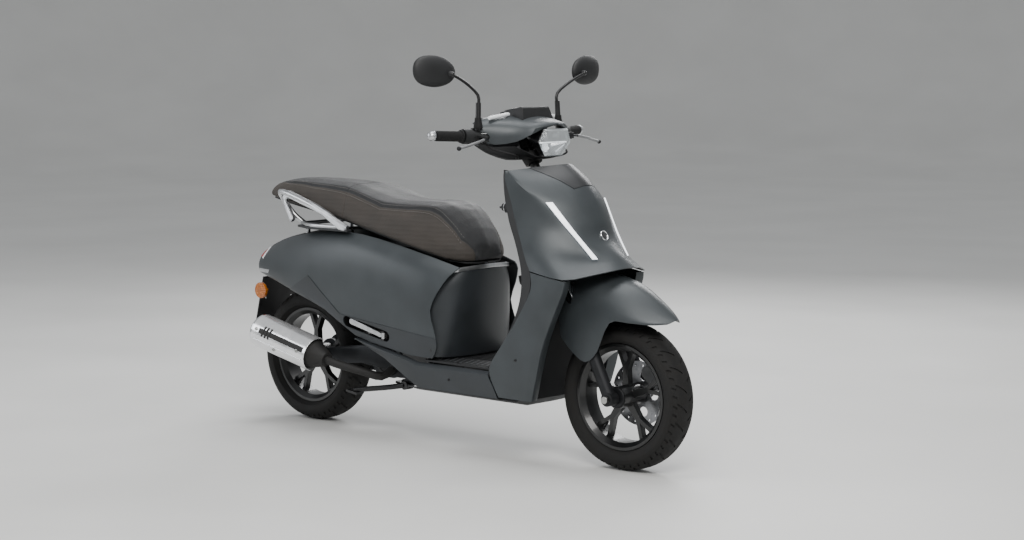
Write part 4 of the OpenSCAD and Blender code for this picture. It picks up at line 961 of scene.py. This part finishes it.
def make_mirror(side, name):
    """An egg-shaped mirror housing with its glass set in a rim on the rider's side."""
    ball = at(247.2, side * 318, 1197)
    middle = Vector((ball.x - 0.033, side * 0.362, ball.z + 0.009))
    bpy.ops.mesh.primitive_uv_sphere_add(segments=48, ring_count=24, radius=1)
    piece = bpy.context.object
    piece.name = piece.data.name = "mirror_housing_" + name
    for vertex in piece.data.vertices:
        x, y, z = vertex.co
        taper = 1 - MIRROR_TAPER * max(0.0, -y * side) ** 1.5
        square = (abs(y) ** 3 + abs(z) ** 3) ** (1 / 3)
        grow = math.hypot(y, z) / square if square > 1e-6 else 1
        grow = 1 + (grow - 1) * MIRROR_SQUARENESS
        vertex.co = (x * MIRROR_DEPTH, y * MIRROR_HALF_WIDTH * grow,
                     (z * MIRROR_HALF_HEIGHT * grow) * taper + 0.004 * y * side)
    start_edit(piece)
    bpy.ops.mesh.bisect(plane_co=(-0.004, 0, 0), plane_no=(-1, 0, 0), clear_outer=True, use_fill=True)
    end_edit()
    piece.data.materials.append(fine_abs)
    piece.data.materials.append(silvered)
    select_faces(piece, lambda centre, normal: normal.x < -0.95 and centre.x < -0.0035)
    bpy.ops.mesh.inset(thickness=0.0045, depth=0)
    bpy.ops.mesh.inset(thickness=0.0012, depth=-0.0016)
    piece.active_material_index = 1
    bpy.ops.object.material_slot_assign()
    end_edit()
    piece.location = middle
    piece.rotation_euler = (0, 0, math.radians(8 * side))
    pick(piece)
    bpy.ops.object.transform_apply(location=True, rotation=True, scale=True)
    smooth(piece, 40)
    turned("mirror_socket_" + name, [(0, 12), (7, 12), (9, 9), (10, 0), (8.6, -5), (0, -5)],
           ball + at(-9, side * 1.5, 0), (1, 0, 0), 32, fine_abs, name + "_mirror", "control_black")
    dress(piece, None, name + "_mirror")
    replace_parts(piece, "mirror_head_" + name)


for side, label in NAMED_SIDES:
    make_mirror(side, label)


BAR_TIP = (197.2, 344, 1011)
BAR_BEND = (259.2, 118, 1002)


def on_bar(side, inward):
    """A place on the handlebar inward millimetres from its end, and the bar's outward direction."""
    tip, bend = (Vector((x, side * y, z)) for x, y, z in (BAR_TIP, BAR_BEND))
    out = (tip - bend).normalized()
    return (tip - out * inward) * MM, out


def make_grip(side, node, body):
    """A ribbed rubber grip with a flange at its inner end."""
    length, radius, bore = 96, 16, 11.1
    outline = [(bore, -length - 2), (20, -length - 2), (20.4, -length), (20, -length + 3), (radius, -length + 5)]
    pitch = 5.2
    for k in range(int((length - 12) / pitch)):
        z = -length + 7 + k * pitch
        outline += [(radius - 0.9, z), (radius, z + 0.9), (radius, z + pitch - 1.8), (radius - 0.9, z + pitch - 0.9)]
    outline += [(radius - 0.9, -4), (radius - 0.4, -2), (bore, -2), (bore, -length - 2)]
    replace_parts(turned(node + "_ribbed", outline, *on_bar(side, 0), 40, grip_stipple, body, "grip_rubber"), node)


make_grip(-1, "throttle_grip", "throttle")
make_grip(1, "left_grip", "steering")


BAR_END = ((0, 0.5), (14.5, 0.5), (15.5, 2), (15.5, 5), (14, 6), (14, 7), (15.2, 8.5), (14.5, 13), (11, 19), (6, 22),
           (0, 22.6))
bar_ends = join([lathe("bar_end", BAR_END, *on_bar(side, 0), 40) for side in SIDES], "turned_bar_ends")
dress(bar_ends, aluminium, "steering")
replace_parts(bar_ends, "bar_ends")


# ---------- inlays and trim on the body ----------


def on_skin(node, origin, direction):
    """Where a line from origin meets a node's finished skin, and the skin's outward direction there."""
    return bpy.data.objects[node + "_finished"].ray_cast(origin, direction)[1:3]


def trim(first, second, facing, keep):
    """A cutting plane through two places and along facing, that spares the side where keep lies."""
    outward = (second - first).cross(Vector(facing)).normalized()
    return first, -outward if outward.dot(keep - first) > 0 else outward


def inlay(node, name, corners, facing, proud_mm, material):
    """A thin panel on a node's skin, inside the outline of the corners as seen along facing."""
    corners = [at(*corner) for corner in corners]
    middle = sum(corners, Vector()) / len(corners)
    planes = [trim(a, b, facing, middle) for a, b in zip(corners, corners[1:] + corners[:1])]
    return overlay(node, name, planes, facing, proud_mm, material)


def side_inlay(node, name, outline, proud_mm, material, slot):
    """The same inlay on both sides; the outline is (x, z) millimetres seen from the side."""
    for side, label in NAMED_SIDES:
        corners = [(x, side * 200, z) for x, z in outline]
        piece = inlay(node, name + "_" + label, corners, (0, side, 0), proud_mm, material)
        start_edit(piece)
        bpy.ops.mesh.bisect(plane_co=(0, side * 0.03, 0), plane_no=(0, -side, 0), clear_outer=True)
        end_edit()


GLOVEBOX_CORNERS = [(280, 34, 700), (280, 128, 704), (280, 122, 836), (280, 34, 832)]
SIDE_INLAYS = (
    # The two side facets copy the side panel's skin in the darker paint: painted shade on the lower side.
    ("side_facet_rear", [(-526, 524), (-372, 408), (-372, 330), (-700, 440)], 1.6, shaded_lower_paint, "body_grey"),
    ("side_facet_front", [(-372, 408), (66, 364), (66, 290), (-372, 290)], 1.6, shaded_lower_paint, "body_grey"),
    ("tail_strip", [(-862, 507), (-862, 519), (-772, 522), (-784, 509)], 1.2, aluminium, "bright_metal"),
    ("tail_lamp_side", [(-830, 600), (-816, 600), (-846, 556), (-862, 560)], 1.6, red_lens, "lamp_red"),
    ("tail_lamp_surround", [(-815, 600), (-806, 600), (-836, 553), (-845, 556)], 1.6, white_indicator, "lamp_white"),
)

inlay("front_shield", "shield_top_inlay", [(360, -112, 918), (360, 112, 918), (478, 50, 826), (478, -50, 826)],
      (0.75, 0, 0.66), 1.4, graphite)
for inlay_args in SIDE_INLAYS:
    side_inlay("side_panels", *inlay_args)
inlay("inner_shield", "glovebox_lid", GLOVEBOX_CORNERS, (-1, 0, 0.05), 1.6, fine_abs)


def nose_badge():
    """A plain round badge: a bright ring round a dark, slightly domed field."""
    spot = on_skin("front_shield", at(900, 0, 708), Vector((-1, 0, 0)))
    turned("nose_badge_ring", [(13.5, -3), (17, -3), (17.2, 1.4), (16.2, 2.6), (14.6, 2.6), (13.5, 1.2), (13.5, -3)],
           *spot, 48, chrome, "chassis", "chrome")
    turned("nose_badge_field", [(0, 1.6), (6, 1.4), (11, 0.8), (13.3, -0.2), (13.3, -3), (0, -3)], *spot, 48,
           gloss_black, "chassis", "control_black")


nose_badge()


rail_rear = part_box("grab_rail")[0].x * 1000
# Seen from the side (x from the rail's rear end, z) and from above (x, y), millimetres.
RAIL_BAND = ((2, 774), (14, 790), (34, 801), (62, 797), (200, 763), (262, 738), (346, 690), (338, 680), (312, 683),
             (236, 727), (186, 744), (50, 776), (34, 766), (82, 706), (66, 694))
RAIL_BASE = ((64, 104), (70, 138), (150, 172), (348, 180), (352, 160), (170, 128), (150, 104))
# The rail sweeps in over this last length by up to this much, in metres.
RAIL_SWEEP_LENGTH = 0.15
RAIL_SWEEP = 0.034


def rail_band(side):
    """The broad flat grab rail on one side: a band over the tube, swept in towards the tail."""
    corners = [at(rail_rear + x, side * 166, z) for x, z in RAIL_BAND]
    piece = block("grab_rail_band", corners, at(0, side * 18, 0), aluminium, "chassis", 4.5, 3)
    for vertex in piece.data.vertices:
        inset = max(0.0, (rail_rear + RAIL_SWEEP_LENGTH * 1000) * MM - vertex.co.x) / RAIL_SWEEP_LENGTH
        vertex.co.y -= side * RAIL_SWEEP * inset ** 1.4


def rail_base(side):
    """Plate between the tail and the lower bar of the grab rail."""
    corners = [at(rail_rear + x, side * y, 677) for x, y in RAIL_BASE]
    block("rail_base", corners, at(0, 0, 8), graphite, "chassis", 2.5, 3)


for make_rail in (rail_band, rail_base):
    for side in SIDES:
        make_rail(side)


def floor_ribs():
    """Slanted grip ribs along both edges of the floorboard."""
    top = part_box("footboard")[0].z + 6 * MM
    for side, label in NAMED_SIDES:
        corners = [(20 + x, side * y) for x, y in ((0, 96), (30, 170), (37, 170), (7, 96))]
        rib = block("floor_ribs_" + label, [Vector((x * MM, y * MM, top - 0.0004)) for x, y in corners], at(0, 0, 2.4),
                    floor_mat, "chassis", 0)
        row = rib.modifiers.new("row", "ARRAY")
        row.count = 10
        row.use_relative_offset = False
        row.use_constant_offset = True
        row.constant_offset_displace = (0.022, 0, 0)
        apply_modifiers(rib)
        soften(rib, 0.8, 2, 30)


floor_ribs()


# ---------- silencer ----------

SHIELD_RADIUS = 58
MUFFLER_BACK = at(-755, -196, 322)
MUFFLER_AXIS = (at(-497, -192, 262) - MUFFLER_BACK).normalized()
MUFFLER_OUT = (Vector((0, -1, 0)) + MUFFLER_AXIS * MUFFLER_AXIS.y).normalized()
MUFFLER_UP = MUFFLER_AXIS.cross(MUFFLER_OUT).normalized()
if MUFFLER_UP.z < 0:
    MUFFLER_UP = -MUFFLER_UP


def round_muffler(along, angle, radius):
    """A place along the silencer and round it: angle 0 faces out, 90 up."""
    out = MUFFLER_OUT * math.cos(math.radians(angle)) + MUFFLER_UP * math.sin(math.radians(angle))
    return MUFFLER_BACK + (MUFFLER_AXIS * along + out * radius) * MM, out


def shield_patch(name, start, end, low, high, proud_mm, material, slot, lean=0.0):
    """A patch on the heat shield between two places along it and two angles round it."""
    middle = round_muffler((start + end) / 2, (low + high) / 2, SHIELD_RADIUS)
    spots = ((start, low), (end, low), (end + lean, high), (start + lean, high))
    corners = [round_muffler(along, angle, SHIELD_RADIUS)[0] for along, angle in spots]
    planes = [trim(a, b, middle[1], middle[0]) for a, b in zip(corners, corners[1:] + corners[:1])]
    return overlay("muffler_shield", name, planes, middle[1], proud_mm, material)


def make_silencer_trim():
    black = (silencer_black, "exhaust_black")
    shield_patch("shield_slot", 46, 262, 10, 28, 0.7, *black)
    for k in range(3):
        shield_patch("shield_louvre_%d" % (k + 1), 62 + 15 * k, 69 + 15 * k, 2, 40, 1.8, *black, 5)
    shield_patch("shield_rib", 30, 262, -18, -14, 1.8, shield_steel, "shield_chrome")
    spots = [round_muffler(along, angle, 58.6) for along, angle in ((34, 20), (238, 8), (128, -24))]
    screws("shield_screws", spots, 6, 5, "engine", zinc)
    turned("silencer_outlet", [(9, -4), (13, -4), (13, -20), (12, -22), (10, -22), (9, -20), (9, -4)],
           MUFFLER_BACK + MUFFLER_UP * 0.008, MUFFLER_AXIS, 32, silencer_black, "engine", "exhaust_black")
    turned("silencer_end_ring", [(50, 2), (53.6, 4), (57.8, 9), (58.6, 13), (57.6, 16), (55, 16), (54, 10), (50, 5),
                                 (50, 2)], MUFFLER_BACK, MUFFLER_AXIS, 64, chrome, "engine", "shield_chrome")
    turned("silencer_front_ring", [(52.2, 250), (54.4, 251), (54.4, 257), (52.2, 258), (52.2, 250)], MUFFLER_BACK,
           MUFFLER_AXIS, 64, silencer_black, "engine", "exhaust_black")


make_silencer_trim()


# ---------- suspension, wheels and brakes ----------


def make_spring():
    """The coil round the shock absorber; it shortens between the body's collar and the rod's."""
    top, foot = at(-613, 130, 584), at(-641, 130, 320)
    down = (foot - top).normalized()
    side = down.cross(Vector((0, 1, 0))).normalized()
    front = down.cross(side)
    turns, per_turn, radius = 7, 12, 0.0232
    start, end = 0.034, 0.222
    points = []
    for k in range(turns * per_turn + 1):
        share = k / (turns * per_turn)
        angle = 2 * math.pi * k / per_turn
        points.append(top + down * (start + (end - start) * share)
                      + (side * math.cos(angle) + front * math.sin(angle)) * radius)
    spring = wire("shock_spring", points, 3.6, 2)
    spring.data.materials.append(spring_red)
    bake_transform(spring, "shock_upper", "shock_lower", top + down * start, top + down * end)
    turned("spring_top_seat", [(17.2, 24), (27, 24), (27.6, 26), (27.6, 29), (26.6, 30.4), (17.2, 30.4), (17.2, 24)],
           top, down, 40, frame_coat, "shock_upper", "shock_paint")


make_spring()


RAKE = 26.5
VALVE_ANGLE = 234
# Heights of the fork seals and of the axle.
SEAL_Z, AXLE_Z = 436, 226


def make_wheel_fittings():
    for node, body, face, bore in (("front_rim", "front_wheel", -56, 7.5), ("rear_rim", "rear_wheel", -44, 9.5)):
        axle = centre_of(node)
        turned(node + "_hub_cap", [(bore, 0), (31, 0), (31.5, 1.5), (30, 3.5), (22, 5), (16, 5), (15, 3.4), (bore, 3.4),
                                   (bore, 0)], axle + at(0, face, 0), (0, -1, 0), 48, casting, body, "wheel_black")
        out = ray(VALVE_ANGLE)
        turned(node + "_valve", [(0, 0), (3.2, 0), (3.2, -16), (2.6, -17), (2.6, -24), (3.4, -25), (3.4, -32),
                                 (2.4, -34), (0, -34)], axle + out * 0.139 + at(0, -16, 0), out, 16, grip_stipple,
               body, "tyre_rubber")
    spots = []
    for k in range(5):
        angle = math.radians(72 * k + 36)
        spots.append((front_axle + Vector((0.021 * math.cos(angle), 0.0605, 0.021 * math.sin(angle))), (0, 1, 0)))
    screws("disc_bolts", spots, 3.6, 3.6, "front_wheel", zinc)
    caliper = front_axle + at(62, 80, 48)
    spots = [(caliper + ray(-40) * reach, (0, 1, 0)) for reach in (0.024, -0.024)]
    screws("caliper_bolts", spots, 6, 6, "fork_lower", zinc)
    for side, label in NAMED_SIDES:
        top = front_axle + at(-(SEAL_Z - AXLE_Z) * math.tan(math.radians(RAKE)), side * 88, SEAL_Z - AXLE_Z)
        turned("fork_seal_" + label, [(16, -2), (18.9, -2), (19.1, 0), (18.8, 4), (17.6, 6), (16.6, 6.6), (16, 6),
                                      (16, -2)], top, ray(90 + RAKE), 40, grip_stipple, "fork_lower", "hose_rubber")


make_wheel_fittings()


# ---------- engine ----------


def make_belt_cover():
    """Raised cover on the belt casing with its rim of screws, slanted cooling ribs and a final-drive boss."""
    front, rear = at(-279, 140, 250), at(-655, 140, 230)
    outline = [end + ray(start + 160 * k / 12) * radius
               for end, start, radius in ((front, -80, 0.060), (rear, 98, 0.048)) for k in range(13)]
    cover = block("belt_cover", outline, at(0, 5, 0), engine_alloy, "engine", 1.6, 3)
    middle = (front + rear) / 2
    spots = [(spot + (middle - spot).normalized() * 0.008 + at(0, 5.6, 0), (0, 1, 0)) for spot in outline[::3]]
    screws("belt_cover_screws", spots, 4.5, 4, "engine", zinc)
    for k in range(6):
        x = -330 - 34 * k
        slot = [at(x + along, 144.6, z) for along, z in ((0, 214), (10, 214), (20, 262), (10, 262))]
        block("belt_cover_rib_%d" % (k + 1), slot, at(0, 2.6, 0), engine_alloy, "engine", 1.0)
    turned("belt_cover_boss", [(0, 6), (14, 6), (17, 4), (18, 2), (30, 1.5), (32, 0), (32, -2), (0, -2)],
           front + at(0, 5, 0), (0, 1, 0), 48, casting, "engine", "casting")


make_belt_cover()


def make_engine_side():
    """Fan cowl with its grille on the crankcase's right side."""
    turned("fan_cowl", [(20, 0), (46, 0), (47, -2), (45, -9), (40, -12), (34, -12), (32, -10), (20, -10), (20, 0)],
           at(-285, -56, 240), (0, 1, 0), 56, fine_abs, "engine", "control_black")
    bars = []
    for z in range(220, 261, 10):
        corners = [at(x, -67, z + rise) for x, rise in ((-320, -1.6), (-250, -1.6), (-250, 1.6), (-320, 1.6))]
        bars.append(block("bar", corners, at(0, 3, 0), fine_abs, "engine", 0.6))
    dress(join(bars, "fan_grille"), fine_abs, "engine")


make_engine_side()


# ---------- controls ----------

LEVER_LINE = ((293, -226, 998), (298.3, -261.4, 991.3), (296.3, -301.4, 982.3), (292.8, -332, 976.5))


# The levers are black with bright edges; the blades drawn whole in pale bare alloy are partly those edges and partly a
# painted highlight.
for side, label in NAMED_SIDES:
    blade = wire("lever_blade_" + label, [at(x, -side * y, z) for x, y, z in LEVER_LINE], 4.6, 6)
    dress(blade, caliper_alloy, label + "_lever")

knob = centre_of("ignition_knob")
turned("ignition_ring", [(12.8, 0), (17, 0), (17.6, 1.4), (16.6, 3), (13.6, 3), (12.8, 2), (12.8, 0)],
       Vector((0.2846, knob.y, knob.z)), (-1, 0, 0), 40, aluminium, "chassis", "bright_metal")

for side, label in NAMED_SIDES:
    foot = on_bar(side, 148)[0] + at(4, -side * 8, 24)
    turned("mirror_boot_" + label, [(9.4, 0), (14, 0), (14.6, 2), (13.4, 12), (11.4, 22), (10.6, 34), (9.4, 34),
                                    (9.4, 0)], foot, (-0.02, side * -0.04, 1), 32, grip_stipple, "steering",
           "hose_rubber")


def make_plate_lamp():
    """Small housing over the number plate, with its own clear window."""
    corners = [at(-873, y, z) for y, z in ((-26, 462), (26, 462), (30, 474), (-30, 474))]
    block("plate_lamp", corners, at(11, 0, 0), fine_abs, "chassis", 1.6)
    window = [at(x, y, 461.4) for x, y in ((-871, -20), (-864, -20), (-864, 20), (-871, 20))]
    block("plate_lamp_window", window, at(0, 0, 1.4), white_indicator, "chassis", 0.4)


make_plate_lamp()


def make_body_screws():
    spots = []
    for side in SIDES:
        for node, x, z in (("side_panels", 40, 325), ("front_shield", 400, 330), ("floor_skirts", 120, 240)):
            spots.append(on_skin(node, at(x, side * 400, z), Vector((0, -side, 0))))
    screws("body_screws", spots, 4.5, 3.2, "chassis", frame_coat)
    floor = [(at(x, side * 178, 292.4), (0, 0, 1)) for side in SIDES for x in (14, 140, 270)]
    screws("floor_screws", floor, 4.5, 3, "chassis", frame_coat)


make_body_screws()


# Outer and inner edges of the leg shield on the left side: (height, outer x, outer y, inner x, inner y).
SHIELD_EDGES = ((902, 329, 168, 315, 161), (850, 338, 171, 320, 163), (812, 357, 173, 326, 165),
                (750, 379, 177, 345, 169), (700, 403, 184, 370, 173), (650, 427, 191, 392, 179),
                (604, 452, 197, 410, 185), (548, 457, 199, 413, 188), (500, 430, 199, 404, 189),
                (455, 403, 199, 386, 189), (410, 370, 199, 363, 189), (370, 341, 199, 336, 189),
                (310, 303, 198, 287, 186))


def shield_edge_trim(side, label):
    """The dark return that closes the leg shield between its painted edge and the rider's side."""
    points, faces = [], []
    for k, (z, outer_x, outer_y, inner_x, inner_y) in enumerate(SHIELD_EDGES):
        points += [at(outer_x + 2, side * outer_y, z), at(inner_x - 1, side * inner_y, z)]
        if k:
            faces.append((2 * k - 2, 2 * k - 1, 2 * k + 1, 2 * k))
    piece = mesh_piece("shield_edge_trim_" + label, points, [], faces)
    rounder = piece.modifiers.new("rounder", "SUBSURF")
    rounder.levels = rounder.render_levels = 2
    add_wall(piece, 2, 0)
    apply_modifiers(piece)
    settle(piece)
    smooth(piece, 40)
    dress(piece, black_abs, "chassis")


for side, label in NAMED_SIDES:
    shield_edge_trim(side, label)


# ---------- floor, light, camera ----------


def add_floor():
    """A pale floor that turns up into a low round backdrop far behind the machine."""
    outline = [(0, 0), (4000, 0), (15000, 0), (17000, 250), (18500, 1000), (19500, 2300), (20000, 5000)]
    floor = lathe("floor", outline, (0, 0, -0.0005), (0, 0, 1), 96)
    floor.data.materials.append(finish("pale seamless floor", 900, ("d4d4d2", "dadad8"), (0.5, 0.6)))


def add_studio():
    world = bpy.data.worlds.new("pale studio")
    bpy.context.scene.world = world
    world.use_nodes = True
    sky = world.node_tree.nodes["Background"]
    sky.inputs["Color"].default_value = linear("e6e8ea")
    sky.inputs["Strength"].default_value = 0.62
    # Name, place and size in metres, power in watts, colour.
    for name, place, size, power, colour in (
            ("key", (2.6, -2.6, 3.4), (2.4, 1.6), 150, (1, 0.98, 0.95)),
            ("fill", (-3.4, -3.0, 2.0), (2.2, 2.2), 60, (0.95, 0.97, 1)),
            ("rim", (-1.5, 3.6, 2.8), (3.0, 1.2), 110, (1, 1, 1)),
            ("top", (0.2, 0.0, 4.2), (3.2, 1.4), 90, (1, 1, 1))):
        add_softbox(name, place, (0, 0, 0.5), size, power, colour)


deselect()
add_floor()
add_studio()
add_camera()
